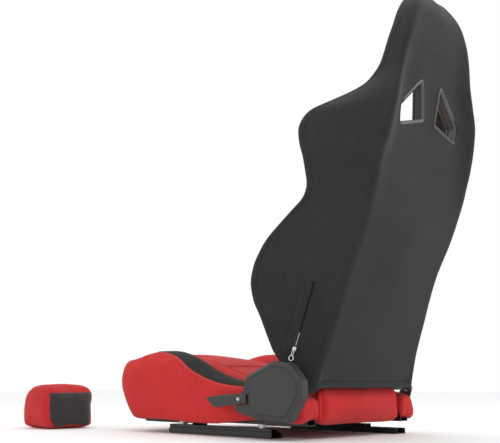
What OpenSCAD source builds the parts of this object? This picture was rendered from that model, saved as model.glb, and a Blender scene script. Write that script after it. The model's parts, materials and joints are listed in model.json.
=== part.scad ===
// Reclining racing seat on two slim slider rails, with its loose support pad.
// Frame: +Z up, the seat faces -Y and the sitter's left is +X. The origin lies on the floor plane,
// midway between the rails and level with the middle of the left lower rail.

/* [Slider rails] */
// Length of each lower and upper rail
rail_len = 340; // [320:5:420]
// Distance between the centre lines of the two rails
rail_gauge = 364; // [350:2:380]
// Outer width of a lower rail
rail_w = 38; // [36:1:42]
// Height of a lower rail
rail_h = 14; // [13:0.5:16]
// Height of the upper rail's top face above the floor
rail_top = 22; // [21:0.5:24]
// Sheet thickness of the rails
rail_wall = 2; // [1.6:0.1:2.4]
// Distance between the two floor bolts of a rail
floor_bolt_pitch = 290; // [270:5:300]
// Diameter of a floor bolt hole
floor_bolt_d = 8.5; // [6.5:0.5:10.5]
// Travel of a rail each way from its middle
rail_travel = 112; // [80:2:115]
// How far the right lower rail stands behind the left one
rail_stagger = 90; // [0:5:95]

/* [Seat base] */
// Width over the side bolsters
base_w = 472; // [460:2:520]
// Length from the nose to the rear face
base_len = 638; // [600:2:700]
// Height of the bolster ridge above the floor
bolster_h = 209; // [195:1:240]
// Width of the centre cushion
centre_w = 315; // [290:1:318]
// Height of the centre cushion's front above the floor
thigh_h = 188; // [160:1:192]
// Height of the lower edge of the bolsters above the floor
skirt_z = 28; // [25:1:29]

/* [Base frame] */
// Width of a side member
member_w = 30; // [24:1:32]
// Height of a side member
member_h = 26; // [20:1:27]
// Sheet thickness of the side members
member_wall = 2; // [1.5:0.1:3]
// Height of the spacer between a rail and its side member
spacer_h = 9; // [8:0.5:9.5]
// Diameter of the frame bolts
frame_bolt_d = 8; // [6:1:8]
// Diameter of the cross tubes
cross_d = 16; // [12:1:18]
// Wall thickness of the cross tubes and of the backrest's tubes
tube_wall = 1.5; // [1.2:0.1:3]

/* [Recliner] */
// Distance of the recliner axis behind the origin
pivot_y = 245; // [240:1:250]
// Height of the recliner axis above the floor
pivot_z = 112; // [112:1:116]
// Radius of the recliner disc
disc_r = 34; // [28:1:36]
// Radius of the bearing boss in the upper plate
boss_r = 12; // [9:0.5:14]
// Radial clearance of the bearing boss
boss_gap = 0.05; // [0.03:0.01:0.08]
// Thickness of the recliner plates
plate_t = 4; // [3:0.1:4.5]
// Depth of the side covers
cover_t = 17; // [15:0.5:20]
// Wall thickness of the side covers
cover_wall = 2.5; // [2:0.1:3]

/* [Backrest] */
// Length of the backrest above its lower edge
back_len = 855; // [780:5:950]
// Width over the shoulder wings
shoulder_w = 502; // [480:2:540]
// Width of the headrest at its lower end
head_w = 290; // [284:1:320]
// Thickness of a wing at its front edge
wing_t = 38; // [28:1:46]
// Diameter of the frame uprights
upright_d = 17; // [14:1:18]

/* [Harness slots] */
// Height of a slot trim
slot_h = 126; // [110:1:130]
// Width of a slot trim
slot_w = 95; // [84:1:96]
// Width of the bezel round a slot
bezel_w = 9; // [6:0.5:11]
// How far a bezel stands out of the panel
bezel_t = 5; // [3:0.5:8]

/* [Support pad] */
// Width of the pad
pad_w = 160; // [130:1:200]
// Depth of the pad from front to back
pad_d = 146; // [120:1:180]
// Height of the pad
pad_h = 120; // [90:1:150]
// Thickness of the hook panel on the pad
hook_t = 2; // [1.5:0.5:3]

/* [Hidden] */
$fn = 48;
eps = 0.01;
gap = 0.5;              // clearance between pieces that move past each other
slit = 0.3;             // clearance between pieces of one body

// Rails
gx = rail_gauge / 2;
slot_half = rail_w / 2 - 5.5;          // half width of the slot between a lower rail's lips
web_half = slot_half - 1.5;            // half width of an upper rail's box
upper_y = -7;                          // middle of the upper rails
lug_len = 8;
stop_len = 6;
stop_at = rail_travel + (lug_len + stop_len) / 2 + gap;
frame_bolt_at = [upper_y - 135, upper_y + 135];

// Base
base_rear = 281;
nose_y = base_rear - base_len;
half_w = base_w / 2;
centre_half = centre_w / 2;
member_z = rail_top + spacer_h;
member_top = member_z + member_h;
member_front = nose_y + 72;
member_rear = base_rear - 11;
strap_t = 2;
strap_w = 45;
strap_at = [for (i = [0 : 4]) member_front + 50 + i * (base_rear - member_front - 226) / 4];
foam_z = member_top + strap_t + 1;     // underside of the cushions
skirt_in = gx + member_w / 2 + 9;      // inner face of the bolsters' skirts
tube_y = [nose_y + 187, base_rear - 46];   // cross tubes
tube_z = member_z + member_h / 2;

// Recliner, from the bolster outwards
up_in = half_w + 2;
up_out = up_in + plate_t - slit;
disc_t = 5;
low_in = up_in + plate_t + disc_t;
low_out = low_in + plate_t;
arm_in = low_out + 2;
cover_out = low_in + cover_t + 1;
face_in = cover_out - cover_wall - 0.5;
rim_d = 5;                             // chamfer round a cover's face: depth and width
rim_w = 7;

// The right side turns on a plain pivot, slim enough to stay behind the base.
slave_r = 12;
bush_r = 9;
slave_in = up_in + plate_t;
slave_out = slave_in + plate_t;
plate_bolt_at = [[192, 51.5], [232, 51.5]];
plate_bolt_r = 3;
distance_tube_r = 4.2;

// Backrest stations: height, ridge x and y, wing edge x and y, panel half width, panel front y,
// and how far the rear panel lies in front of the ridges. Heights are drawn for a backrest 855 long;
// a longer one grows between its lower edge and the harness section.
drawn_len = 855;
back_low = 150;
slot_zone = 670;
hip_x = half_w;                        // the hip wings are as wide as the base
shoulder_x = shoulder_w / 2;
head_x = head_w / 2;
STATIONS = [
    [150, 190, 298, hip_x - 13, 222, 150, 206, 0],
    [230, 184, 330, hip_x - 5, 190, 142, 240, 0],
    [345, 179, 373, hip_x, 147, 138, 290, 0],
    [450, 182, 423, hip_x - 7, 192, 142, 345, 0],
    [505, 186, 446, hip_x - 13, 259, 146, 368, 4],
    [560, 188, 467, shoulder_x - 23, 308, 150, 388, 10],
    [615, 182, 487, shoulder_x - 6, 313, 150, 405, 18],
    [670, 173, 504, shoulder_x, 306, 150, 422, 24]
];
SLOT_STATIONS = [
    [670, 173, 504, shoulder_x, 306, 124, 422, 24],
    [725, 165, 516, shoulder_x - 11, 322, 124, 436, 27],
    [750, 160, 518, shoulder_x - 46, 360, 124, 441, 27],
    [780, 152, 519, shoulder_x - 91, 415, 124, 448, 25],
    [812, head_x, 521, head_x - 3, 450, 124, 455, 22]
];
HEAD_STATIONS = [
    [812, head_x, 521, head_x - 3, 450, 124, 455, 0],
    [880, head_x - 18, 526, head_x - 12, 475, 105, 478, 0],
    [940, head_x - 39, 530, head_x - 26, 487, 90, 486, 0],
    [985, head_x - 71, 517, head_x - 55, 489, 60, 488, 0],
    [1005, head_x - 105, 500, head_x - 103, 492, 30, 490, 0]
];
function bz(z) = z > slot_zone ? z + back_len - drawn_len
    : back_low + (z - back_low) * (1 + (back_len - drawn_len) / (slot_zone - back_low));
lip_z = 134;                           // rear lower edge of the backrest core
lip_y = [262, 291];

// Frame of the backrest: foot, waist, shoulder, neck and head points of an upright
upright_r = upright_d / 2;
shelf_z = [126, 134];                  // shelf of an upper plate under the foot of an upright
shelf_y = 246;
shelf_d = 32;
eye_y = 238;                           // neck between the right plate's eye and its shelf
eye_d = 18;
foot_z = shelf_z[1] + 0.4 * upright_r + slit;
UPRIGHT = [[160, 263, foot_z], [160, 437, bz(560)], [146, 474, bz(690)], [135, 484, bz(812)],
           [100, 500, bz(905)]];
BAR_Z = [bz(200), bz(430), bz(655)];
bar_r = 7;
tube_sides = 16;
channel = 0.6;                         // clearance round the frame inside the foam

// Harness slots: inner and outer corner below, outer corner above and top corner of a trim
slot_low = bz(702);
SLOT = [[22, slot_low + 2], [22 + slot_w, slot_low - 26], [26 + slot_w, slot_low + 16],
        [39, slot_low - 26 + slot_h]];
slot_round = 9;

// Places of the panel's front and rear face at its lower and upper end, and their tilts
front_s = [SLOT_STATIONS[0][6], SLOT_STATIONS[4][6]];
rear_s = [SLOT_STATIONS[0][2] - SLOT_STATIONS[0][7], SLOT_STATIONS[4][2] - SLOT_STATIONS[4][7]];
panel_h = bz(812) - bz(670);
front_tilt = atan((front_s[1] - front_s[0]) / panel_h);
rear_tilt = atan((rear_s[1] - rear_s[0]) / panel_h);

// Zip on the left wing: lower and upper end of its track
ZIP = [[hip_x - 23, 252, bz(200)], [hip_x - 35.5, 300, bz(346)]];
zip_dir = (ZIP[1] - ZIP[0]) / norm(ZIP[1] - ZIP[0]);
zip_lean = asin(zip_dir[1]);
zip_tilt = asin(zip_dir[0] / cos(zip_lean));
hinge_up = 2;                          // pull's hinge above the slider's lower end

// Outline of the recliner's cover in the YZ plane, and of the foot below the lever
COVER = [[229, 171], [281, 165], [317, 129], [317, 94], [277, 40], [174, 45], [149, 76], [147, 131]];
FOOT = [[174, 45], [182, 76], [118, 76], [108, 66], [124, 57]];

// Lever and release bar
handle_screw = [126, 88];
release_y = -150;
release_z = 27;
release_r = 4;
release_x = 150;
release_front = -318;
pin_r = 3;
pin_gap = 0.05;

// Support pad
pad_x = 268;
pad_rear = -492;

// ---------- helpers ----------

// A round bar between two points.
module bar(p, q, r) {
    v = q - p;
    len = norm(v);
    translate(p)
        rotate([0, acos(v[2] / len), atan2(v[1], v[0])])
            cylinder(r = r, h = len);
}

// A round bar along a list of points, with round corners.
module path_bar(points, r) {
    for (i = [0 : len(points) - 2]) bar(points[i], points[i + 1], r);
    for (i = [1 : len(points) - 2]) translate(points[i]) sphere(r = r);
}

// A cylinder along X from x0 to x1.
module xcyl(x0, x1, y, z, r) {
    translate([x0, y, z]) rotate([0, 90, 0]) cylinder(r = r, h = x1 - x0);
}

// A plate in the YZ plane, from x0 to x1.
module yz_plate(x0, x1) {
    translate([x0, 0, 0]) rotate([90, 0, 90]) linear_extrude(x1 - x0) children();
}

// A piece and its mirror image, or the mirror image alone.
module on_right() {
    mirror([1, 0, 0]) children();
}

module both_sides() {
    children();
    on_right() children();
}

// A thin horizontal slice of the given outline at height z.
module slice(z, points) {
    translate([0, 0, z]) linear_extrude(eps) polygon(points);
}

function wing_outline(s) = let (xin = max(s[5], s[3] - wing_t))
    [[s[5] + slit, s[6]], [xin, s[4] + 6], [s[3], s[4]], [s[1], s[2]],
     [s[5] + slit, s[2] - s[7]]];
function core_outline(s) =
    [[-s[5], s[6]], [s[5], s[6]], [s[5], s[2] - s[7]], [-s[5], s[2] - s[7]]];
function head_outline(s) =
    [[-s[5], s[6]], [s[5], s[6]], [s[3], s[4]], [s[1], s[2]], [-s[1], s[2]], [-s[3], s[4]]];

module wing(stations) {
    for (i = [0 : len(stations) - 2]) hull() {
        slice(bz(stations[i][0]), wing_outline(stations[i]));
        slice(bz(stations[i + 1][0]) - eps, wing_outline(stations[i + 1]));
    }
}

// ---------- slider rails ----------

module lower_rail(x, y) {
    a = rail_w / 2;
    t = rail_wall;
    translate([x, y, 0]) {
        difference() {
            rotate([90, 0, 0]) linear_extrude(rail_len, center = true)
                polygon([[-a, 0], [a, 0], [a, rail_h], [slot_half, rail_h],
                         [slot_half, rail_h - t], [a - t, rail_h - t], [a - t, t],
                         [t - a, t], [t - a, rail_h - t], [-slot_half, rail_h - t],
                         [-slot_half, rail_h], [-a, rail_h]]);
            for (s = [-1, 1]) translate([0, s * floor_bolt_pitch / 2, -1])
                cylinder(d = floor_bolt_d, h = t + 2);
        }
        for (s = [-1, 1]) translate([-7, s * stop_at - stop_len / 2, t])
            cube([14, stop_len, 3]);
    }
}

module upper_rail(x) {
    w = web_half;
    t = rail_wall;
    f = rail_w / 2 - t - 1.6;
    foot = t + 3;
    translate([x, upper_y, 0]) difference() {
        union() {
            rotate([90, 0, 0]) linear_extrude(rail_len, center = true)
                polygon([[-f, foot], [t - w, foot], [t - w, rail_top - t],
                         [w - t, rail_top - t], [w - t, foot], [f, foot],
                         [f, rail_h - t - 1], [f - 1.6, rail_h - t - 1], [f - 1.6, foot + t],
                         [w, foot + t], [w, rail_top], [-w, rail_top], [-w, foot + t],
                         [1.6 - f, foot + t], [1.6 - f, rail_h - t - 1], [-f, rail_h - t - 1]]);
            translate([-6, -lug_len / 2, t + 1]) cube([12, lug_len, rail_top - 2 * t - 1 + eps]);
        }
        for (y = frame_bolt_at) translate([0, y - upper_y, foot])
            cylinder(d = frame_bolt_d, h = rail_top);
    }
}

module left_lower_rail() { color([0.09, 0.09, 0.10]) lower_rail(gx, 0); }
module right_lower_rail() { color([0.09, 0.09, 0.10]) lower_rail(-gx, rail_stagger); }
module left_upper_rail() { color([0.11, 0.11, 0.12]) upper_rail(gx); }
module right_upper_rail() { color([0.11, 0.11, 0.12]) upper_rail(-gx); }

// Nylon glides on the flanks of the upper rails.
module rail_glides() {
    f = rail_w / 2 - rail_wall - 1.6;
    color([0.85, 0.85, 0.82]) both_sides()
        for (s = [-1, 1], y = [-120, 0, 120])
            translate([gx + (s > 0 ? f : -f - 1.2), upper_y + y - 10, rail_wall + 3.5])
                cube([1.2, 20, 4]);
}

module rail_spacers() {
    color([0.72, 0.72, 0.74]) both_sides() for (y = frame_bolt_at)
        translate([gx, y, rail_top]) difference() {
            cylinder(d = 18, h = spacer_h);
            translate([0, 0, -1]) cylinder(d = frame_bolt_d, h = spacer_h + 2);
        }
}

module frame_bolts() {
    head_h = 5;
    color([0.6, 0.6, 0.62]) both_sides() for (y = frame_bolt_at) {
        translate([gx, y, rail_top - rail_wall - head_h]) cylinder(d = 13, h = head_h, $fn = 6);
        translate([gx, y, rail_top - rail_wall])
            cylinder(d = frame_bolt_d - 0.1, h = rail_wall + spacer_h + member_wall + 3);
    }
}

// ---------- base frame ----------

module side_member(x) {
    t = member_wall;
    translate([x - member_w / 2, member_front, member_z]) difference() {
        cube([member_w, member_rear - member_front, member_h]);
        translate([t, -1, t])
            cube([member_w - 2 * t, member_rear - member_front + 2, member_h - 2 * t]);
        for (y = frame_bolt_at) translate([member_w / 2, y - member_front, -1])
            cylinder(d = frame_bolt_d, h = t + 2);
        for (p = plate_bolt_at)
            translate([-1, p[0] - member_front, p[1] - member_z])
                rotate([0, 90, 0]) cylinder(r = plate_bolt_r + 0.1, h = member_w + 2);
    }
}

module left_side_member() { color([0.1, 0.1, 0.1]) side_member(gx); }
module right_side_member() { color([0.1, 0.1, 0.1]) side_member(-gx); }

module cross_tube(y) {
    half = gx - member_w / 2;
    difference() {
        xcyl(-half, half, y, tube_z, cross_d / 2);
        xcyl(-half - 1, half + 1, y, tube_z, cross_d / 2 - tube_wall);
    }
}

module front_cross_tube() { color([0.1, 0.1, 0.1]) cross_tube(tube_y[0]); }
module rear_cross_tube() { color([0.1, 0.1, 0.1]) cross_tube(tube_y[1]); }

module suspension_straps() {
    half = gx + member_w / 2 - 4;
    color([0.2, 0.2, 0.2]) for (y = strap_at)
        translate([-half, y - strap_w / 2, member_top]) cube([2 * half, strap_w, strap_t]);
}

// Brackets and pivot pins of the slider release bar.
module release_brackets() {
    x = gx - member_w / 2;
    color([0.1, 0.1, 0.1]) both_sides() {
        translate([x - 4, release_y - 7, release_z - 5])
            cube([8, 14, member_z - release_z + 5]);
        xcyl(release_x - release_r, x - 4, release_y, release_z, pin_r);
    }
}

// ---------- base cushions ----------

// A block of the given height range between two places along Y.
module rib(y, x0, x1, z0, z1) {
    translate([x0, y, z0]) cube([x1 - x0, eps, z1 - z0]);
}

module centre_cushion() {
    c = centre_half - slit / 2;
    // place along Y and height of the top
    top = [[nose_y + 12, thigh_h - 38], [nose_y + 50, thigh_h - 9], [nose_y + 115, thigh_h],
           [-100, 172], [50, 128], [150, 106], [258, 104], [base_rear, 111]];
    color([0.76, 0.17, 0.18]) {
        for (i = [0 : len(top) - 2]) hull() {
            rib(top[i][0], -c, c, foam_z + (i == 0 ? 20 : 0), top[i][1]);
            rib(top[i + 1][0] - eps, -c, c, foam_z, top[i + 1][1]);
        }
        translate([-c, base_rear - 18, member_z]) cube([2 * c, 18, foam_z - member_z + 1]);
    }
}

// Outline of a bolster across the seat at a station: ridge height and outer shoulder height.
module bolster_rib(y, z0, ridge, inset) {
    x0 = centre_half + slit / 2;
    x1 = half_w - inset;
    translate([0, y + eps, 0]) rotate([90, 0, 0]) linear_extrude(eps)
        polygon([[x0, z0], [x1, z0], [x1, max(z0 + 4, ridge - 34)], [x1 - 12, max(z0 + 8, ridge - 10)],
                 [x1 - 32, ridge], [x1 - 48, max(z0 + 8, ridge - 6)], [x0, max(z0 + 6, ridge - 34)]]);
}

module bolster() {
    b = bolster_h;
    // place along Y, height of the underside and ridge, and set-back of the side
    ribs = [[nose_y + 3, foam_z + 40, b - 44, 22], [nose_y + 22, foam_z + 12, b - 19, 10],
            [nose_y + 62, foam_z, b - 5, 3], [nose_y + 110, foam_z, b, 0], [-125, foam_z, b, 0],
            [-60, foam_z, b - 17, 0], [10, foam_z, b - 50, 0], [70, foam_z, b - 73, 0],
            [135, foam_z, b - 88, 0], [base_rear - 12, foam_z, 95, 4]];
    difference() {
        union() {
            for (i = [0 : len(ribs) - 2]) hull() {
                bolster_rib(ribs[i][0], ribs[i][1], ribs[i][2], ribs[i][3]);
                bolster_rib(ribs[i + 1][0] - eps, ribs[i + 1][1], ribs[i + 1][2], ribs[i + 1][3]);
            }
            hull() {
                translate([skirt_in, nose_y + 66, foam_z]) cube([half_w - 3 - skirt_in, 1, 1]);
                translate([skirt_in, nose_y + 78, skirt_z]) cube([half_w - 3 - skirt_in, 1, 30]);
                translate([skirt_in, base_rear - 14, skirt_z]) cube([half_w - 5 - skirt_in, 1, 32]);
                translate([skirt_in, base_rear - 14, foam_z]) cube([half_w - 5 - skirt_in, 1, 1]);
            }
        }
        for (p = plate_bolt_at)
            xcyl(skirt_in - 5, half_w + 5, p[0], p[1], distance_tube_r + 1.3, $fn = 16);
    }
}

module left_bolster() { color([0.78, 0.18, 0.19]) bolster(); }
module right_bolster() { color([0.78, 0.18, 0.19]) on_right() bolster(); }

// ---------- recliners ----------

module recliner_disc() {
    xcyl(up_in + plate_t, low_in, pivot_y, pivot_z, disc_r);
    xcyl(up_in, up_in + plate_t, pivot_y, pivot_z, boss_r);
}

module left_recliner_disc() {
    color([0.5, 0.5, 0.52]) difference() {
        recliner_disc();
        xcyl(up_in - 1, low_out + 1, pivot_y, pivot_z, 6 + pin_gap);
    }
}
module right_pivot_bush() {
    color([0.5, 0.5, 0.52]) on_right() difference() {
        xcyl(up_in, slave_in, pivot_y, pivot_z, bush_r);
        xcyl(up_in - 1, slave_in + 1, pivot_y, pivot_z, 6 + pin_gap);
    }
}

// Plate between x0 and x1 from the plate bolts up to a round eye of radius r.
module lower_plate(x0, x1, r) {
    difference() {
        hull() {
            xcyl(x0, x1, pivot_y, pivot_z, r);
            for (p = plate_bolt_at) xcyl(x0, x1, p[0], p[1] + 4, 8);
        }
        xcyl(x0 - 1, x1 + 1, pivot_y, pivot_z, 6 + pin_gap);
        for (p = plate_bolt_at) xcyl(x0 - 1, x1 + 1, p[0], p[1], plate_bolt_r + 0.1);
    }
}

module left_lower_plate() { color([0.12, 0.12, 0.12]) lower_plate(low_in, low_out, disc_r + 3); }
module right_lower_plate() {
    color([0.12, 0.12, 0.12]) on_right() lower_plate(slave_in, slave_out, slave_r);
}

// Bolts and distance tubes that tie a lower plate between x0 and x1 to its side member.
module plate_bolt_set(x0, x1) {
    for (p = plate_bolt_at) {
        xcyl(gx + member_w / 2, x0, p[0], p[1], distance_tube_r);
        xcyl(x0, x1 + 3, p[0], p[1], plate_bolt_r);
    }
}

module plate_bolts() {
    color([0.6, 0.6, 0.62]) {
        plate_bolt_set(low_in, low_out);
        on_right() plate_bolt_set(slave_in, slave_out);
    }
}

module cover_outline(points, inset) { offset(delta = -inset) polygon(points); }

// Face plate with a chamfered rim and side walls, open towards the seat.
module cover_shell(points) {
    difference() {
        hull() {
            yz_plate(up_in, cover_out - rim_d) cover_outline(points, 0);
            yz_plate(cover_out - eps, cover_out) cover_outline(points, rim_w);
        }
        yz_plate(up_in - 1, cover_out - rim_d - 1) cover_outline(points, cover_wall);
        yz_plate(up_in - 2, face_in) cover_outline(points, rim_w);
    }
}

module left_side_cover() {
    color([0.24, 0.24, 0.235]) {
        difference() {
            cover_shell(COVER);
            yz_plate(arm_in - 2, cover_out + 1)
                polygon([[100, 50], [157, 50], [155, 104], [120, 104]]);
            yz_plate(arm_in - 2, face_in)
                polygon([[100, 70], [160, 70], [165, 128], [140, 134], [100, 110]]);
        }
        yz_plate(low_out - 3, low_out) difference() {
            polygon(FOOT);
            polygon([[160, 40], [190, 40], [190, 80], [160, 80]]);
        }
        yz_plate(low_out - 3, low_out) polygon([[160 - eps, 48.4], [160, 76], [150, 76], [150, 50.7]]);
    }
}

module cover_clips() {
    color([0.3, 0.3, 0.3]) for (p = [[212, 62], [240, 66]])
        translate([low_out, p[0] - 4, p[1] - 4]) cube([face_in - low_out, 8, 8]);
}

// Upper plate with the shelf that carries the foot of an upright.
module upper_plate() {
    shelf_x = UPRIGHT[0][0] - upright_r + 1;
    difference() {
        union() {
            hull() {
                xcyl(up_in, up_out, pivot_y, pivot_z, disc_r - 4);
                translate([up_in, shelf_y, shelf_z[0] - 6]) cube([plate_t - slit, shelf_d, 24]);
            }
            translate([shelf_x, shelf_y, shelf_z[0]])
                cube([up_in - shelf_x + eps, shelf_d, shelf_z[1] - shelf_z[0]]);
        }
        xcyl(up_in - 1, up_out + 1, pivot_y, pivot_z, boss_r + boss_gap);
    }
}

module left_upper_plate() { color([0.12, 0.12, 0.12]) upper_plate(); }

// The right upper plate is an eye on a shelf that narrows towards it.
module right_upper_plate() {
    shelf_x = UPRIGHT[0][0] - upright_r + 1;
    shelf_t = shelf_z[1] - shelf_z[0];
    color([0.12, 0.12, 0.12]) on_right() difference() {
        union() {
            hull() {
                xcyl(up_in, up_out, pivot_y, pivot_z, slave_r);
                translate([up_in, eye_y, shelf_z[0] - 2]) cube([plate_t - slit, eye_d, shelf_t + 4]);
            }
            translate([shelf_x, shelf_y, shelf_z[0]]) cube([38, shelf_d, shelf_t]);
            translate([shelf_x + 36, eye_y, shelf_z[0]])
                cube([up_in - shelf_x - 36 + eps, eye_d, shelf_t]);
        }
        xcyl(up_in - 1, up_out + 1, pivot_y, pivot_z, bush_r + boss_gap);
    }
}

// ---------- backrest frame ----------

// The solid of a bar of radius r that follows an upright, longer at each end by the given amount.
module upright_solid(r, more = 0) {
    last = len(UPRIGHT) - 1;
    points = [for (i = [0 : last]) UPRIGHT[i] + (i == 0 ? -more : i == last ? more : 0) * upright_dir(i)];
    rings = [for (i = [0 : last], k = [0 : tube_sides - 1]) let (across = cross(upright_dir(i), [1, 0, 0]))
        points[i] + r * (cos(360 * k / tube_sides) * [1, 0, 0] + sin(360 * k / tube_sides) * across)];
    flanks = [for (i = [0 : last - 1], k = [0 : tube_sides - 1]) let (n = (k + 1) % tube_sides)
        [[i * tube_sides + k, (i + 1) * tube_sides + k, (i + 1) * tube_sides + n],
         [i * tube_sides + k, (i + 1) * tube_sides + n, i * tube_sides + n]]];
    polyhedron(rings, concat([for (pair = flanks) each pair],
                             [[for (k = [0 : tube_sides - 1]) k]],
                             [[for (k = [tube_sides - 1 : -1 : 0]) last * tube_sides + k]]));
}

// Direction of an upright at one of its points, the mean of the stretches that meet there.
function stretch(i) = let (v = UPRIGHT[i + 1] - UPRIGHT[i]) v / norm(v);
function upright_dir(i) = let (v = stretch(max(0, i - 1)) + stretch(min(len(UPRIGHT) - 2, i))) v / norm(v);

module upright() {
    difference() {
        upright_solid(upright_r);
        upright_solid(upright_r - tube_wall, 2);
    }
}

module left_upright() { color([0.1, 0.1, 0.1]) upright(); }
module right_upright() { color([0.1, 0.1, 0.1]) on_right() upright(); }

// Where an upright stands at height z.
function upright_at(z, i = 0) = z <= UPRIGHT[i + 1][2] || i == len(UPRIGHT) - 2
    ? UPRIGHT[i] + (UPRIGHT[i + 1] - UPRIGHT[i]) * (z - UPRIGHT[i][2]) / (UPRIGHT[i + 1][2] - UPRIGHT[i][2])
    : upright_at(z, i + 1);

module crossbar_solid(z, r) {
    p = upright_at(z);
    xcyl(-p[0], p[0], p[1], z, r);
}

// A tube between the uprights at height z, cut to fit against them.
module crossbar(z) {
    difference() {
        crossbar_solid(z, bar_r);
        crossbar_solid(z, bar_r - tube_wall);
        both_sides() upright_solid(upright_r + 0.05);
    }
}

module back_crossbars() { color([0.1, 0.1, 0.1]) for (z = BAR_Z) crossbar(z); }
module head_bar() { color([0.1, 0.1, 0.1]) crossbar(UPRIGHT[len(UPRIGHT) - 1][2] - bar_r - 4); }

// Room for the frame inside the foam, clear of the tubes all round.
module frame_space() {
    both_sides() upright_solid(upright_r + 2 * channel, 3);
    for (z = concat(BAR_Z, UPRIGHT[len(UPRIGHT) - 1][2] - bar_r - 4))
        crossbar_solid(z, bar_r + 2 * channel, $fn = 12);
}

// ---------- backrest cushions ----------

module back_core() {
    first = STATIONS[0];
    color([0.2, 0.2, 0.195]) difference() {
        union() {
            hull() {
                translate([-first[5], lip_y[0], lip_z])
                    cube([2 * first[5], lip_y[1] - lip_y[0], eps]);
                slice(bz(first[0]), core_outline(first));
            }
            for (i = [0 : len(STATIONS) - 2]) hull() {
                slice(bz(STATIONS[i][0]), core_outline(STATIONS[i]));
                slice(bz(STATIONS[i + 1][0]) - eps, core_outline(STATIONS[i + 1]));
            }
        }
        frame_space();
    }
}

module hip_wing() {
    difference() {
        wing([for (i = [0 : 5]) STATIONS[i]]);
        frame_space();
    }
}

module shoulder_wing() {
    difference() {
        wing([for (i = [5 : 7]) STATIONS[i]]);
        frame_space();
    }
}

module slot_side() {
    difference() {
        wing(SLOT_STATIONS);
        frame_space();
    }
}

module left_hip_wing() { color([0.2, 0.2, 0.195]) hip_wing(); }
module right_hip_wing() { color([0.2, 0.2, 0.195]) on_right() hip_wing(); }
module left_shoulder_wing() { color([0.2, 0.2, 0.195]) shoulder_wing(); }
module right_shoulder_wing() { color([0.2, 0.2, 0.195]) on_right() shoulder_wing(); }
module left_slot_side() { color([0.2, 0.2, 0.195]) slot_side(); }
module right_slot_side() { color([0.2, 0.2, 0.195]) on_right() slot_side(); }

// Outline of a harness slot trim in the XZ plane, shrunk by the given amount.
module slot_outline(inset) {
    r = slot_round - inset / 2;
    offset(r = r, $fn = 24) offset(delta = -r - inset) polygon(SLOT);
}

// A straight piece across the backrest with the slot's outline, from y0 to y1.
module slot_prism(y0, y1, inset) {
    translate([0, y1, 0]) rotate([90, 0, 0]) linear_extrude(y1 - y0) slot_outline(inset);
}

module harness_panel() {
    color([0.2, 0.2, 0.195]) difference() {
        hull() {
            slice(bz(SLOT_STATIONS[0][0]), core_outline(SLOT_STATIONS[0]));
            slice(bz(SLOT_STATIONS[4][0]) - eps, core_outline(SLOT_STATIONS[4]));
        }
        both_sides() slot_prism(380, 560, bezel_w - 1);
    }
}

module head_pad() {
    color([0.2, 0.2, 0.195]) difference() {
        for (i = [0 : len(HEAD_STATIONS) - 2]) hull() {
            slice(bz(HEAD_STATIONS[i][0]), head_outline(HEAD_STATIONS[i]));
            slice(bz(HEAD_STATIONS[i + 1][0]) - eps, head_outline(HEAD_STATIONS[i + 1]));
        }
        frame_space();
    }
}

// Slot trims: a rim that follows the tilt of the panel's face.
module trim(y_low, tilt, side) {
    translate([0, y_low, bz(670)]) rotate([-tilt, 0, 0]) translate([0, 0, -bz(670)])
        difference() {
            slot_prism(side > 0 ? slit : -bezel_t, side > 0 ? bezel_t : -slit, 0);
            slot_prism(-20, 20, bezel_w);
        }
}

module rear_trim() { trim(rear_s[0], rear_tilt, 1); }
module front_trim() { trim(front_s[0], front_tilt, -1); }

module left_rear_trim() { color([0.3, 0.3, 0.3]) rear_trim(); }
module right_rear_trim() { color([0.3, 0.3, 0.3]) on_right() rear_trim(); }
module left_front_trim() { color([0.3, 0.3, 0.3]) front_trim(); }
module right_front_trim() { color([0.3, 0.3, 0.3]) on_right() front_trim(); }

// ---------- zip ----------

module zip_track() {
    color([0.08, 0.08, 0.08]) bar(ZIP[0] + 14 * zip_dir + [2, 0, 0], ZIP[1] + [2, 0, 0], 1.2);
}

// Places children at the lower end of the zip, x out of the cover and z along the track.
module zip_frame(out) {
    translate(ZIP[0] + [out, 0, 0]) rotate([0, zip_tilt, 0]) rotate([-zip_lean, 0, 0]) children();
}

module along_y(y0, y1, r) {
    translate([0, y0, hinge_up]) rotate([-90, 0, 0]) cylinder(r = r, h = y1 - y0, $fn = 24);
}

// The slider's body with two ears and the pin between them.
module zip_slider() {
    color([0.8, 0.8, 0.8]) {
        zip_frame(5) translate([-1.5, -4, 0]) cube([3, 8, 11]);
        zip_frame(8) {
            for (y = [-3.7, 2.7]) translate([-2.4, y, hinge_up - 1.2]) cube([3.6, 1, 2.4]);
            along_y(-3.2, 3.2, 0.5);
        }
    }
}

// The pull: a round eye on the slider's pin and a tongue with a hole.
module zip_pull() {
    color([0.8, 0.8, 0.8]) zip_frame(8) difference() {
        union() {
            along_y(-2.4, 2.4, 1.2);
            translate([-0.8, -2.4, -2]) cube([1.6, 4.8, 2 + hinge_up]);
            translate([-0.8, -3.5, -16]) cube([1.6, 7, 14.5]);
        }
        along_y(-3, 3, 0.55);
        translate([-2, 0, -11]) rotate([0, 90, 0]) cylinder(r = 2, h = 4);
    }
}

// ---------- recline lever ----------

module lever_arm() {
    y1 = handle_screw[0];
    z1 = handle_screw[1];
    color([0.12, 0.12, 0.12]) {
        xcyl(up_in + 1, arm_in, pivot_y, pivot_z, 6);
        difference() {
            hull() {
                xcyl(arm_in, arm_in + 3, pivot_y, pivot_z, 14, $fn = 32);
                xcyl(arm_in, arm_in + 3, y1, z1, 8, $fn = 32);
            }
            xcyl(arm_in - 1, arm_in + 4, y1, z1, 2.5);
        }
    }
}

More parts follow.
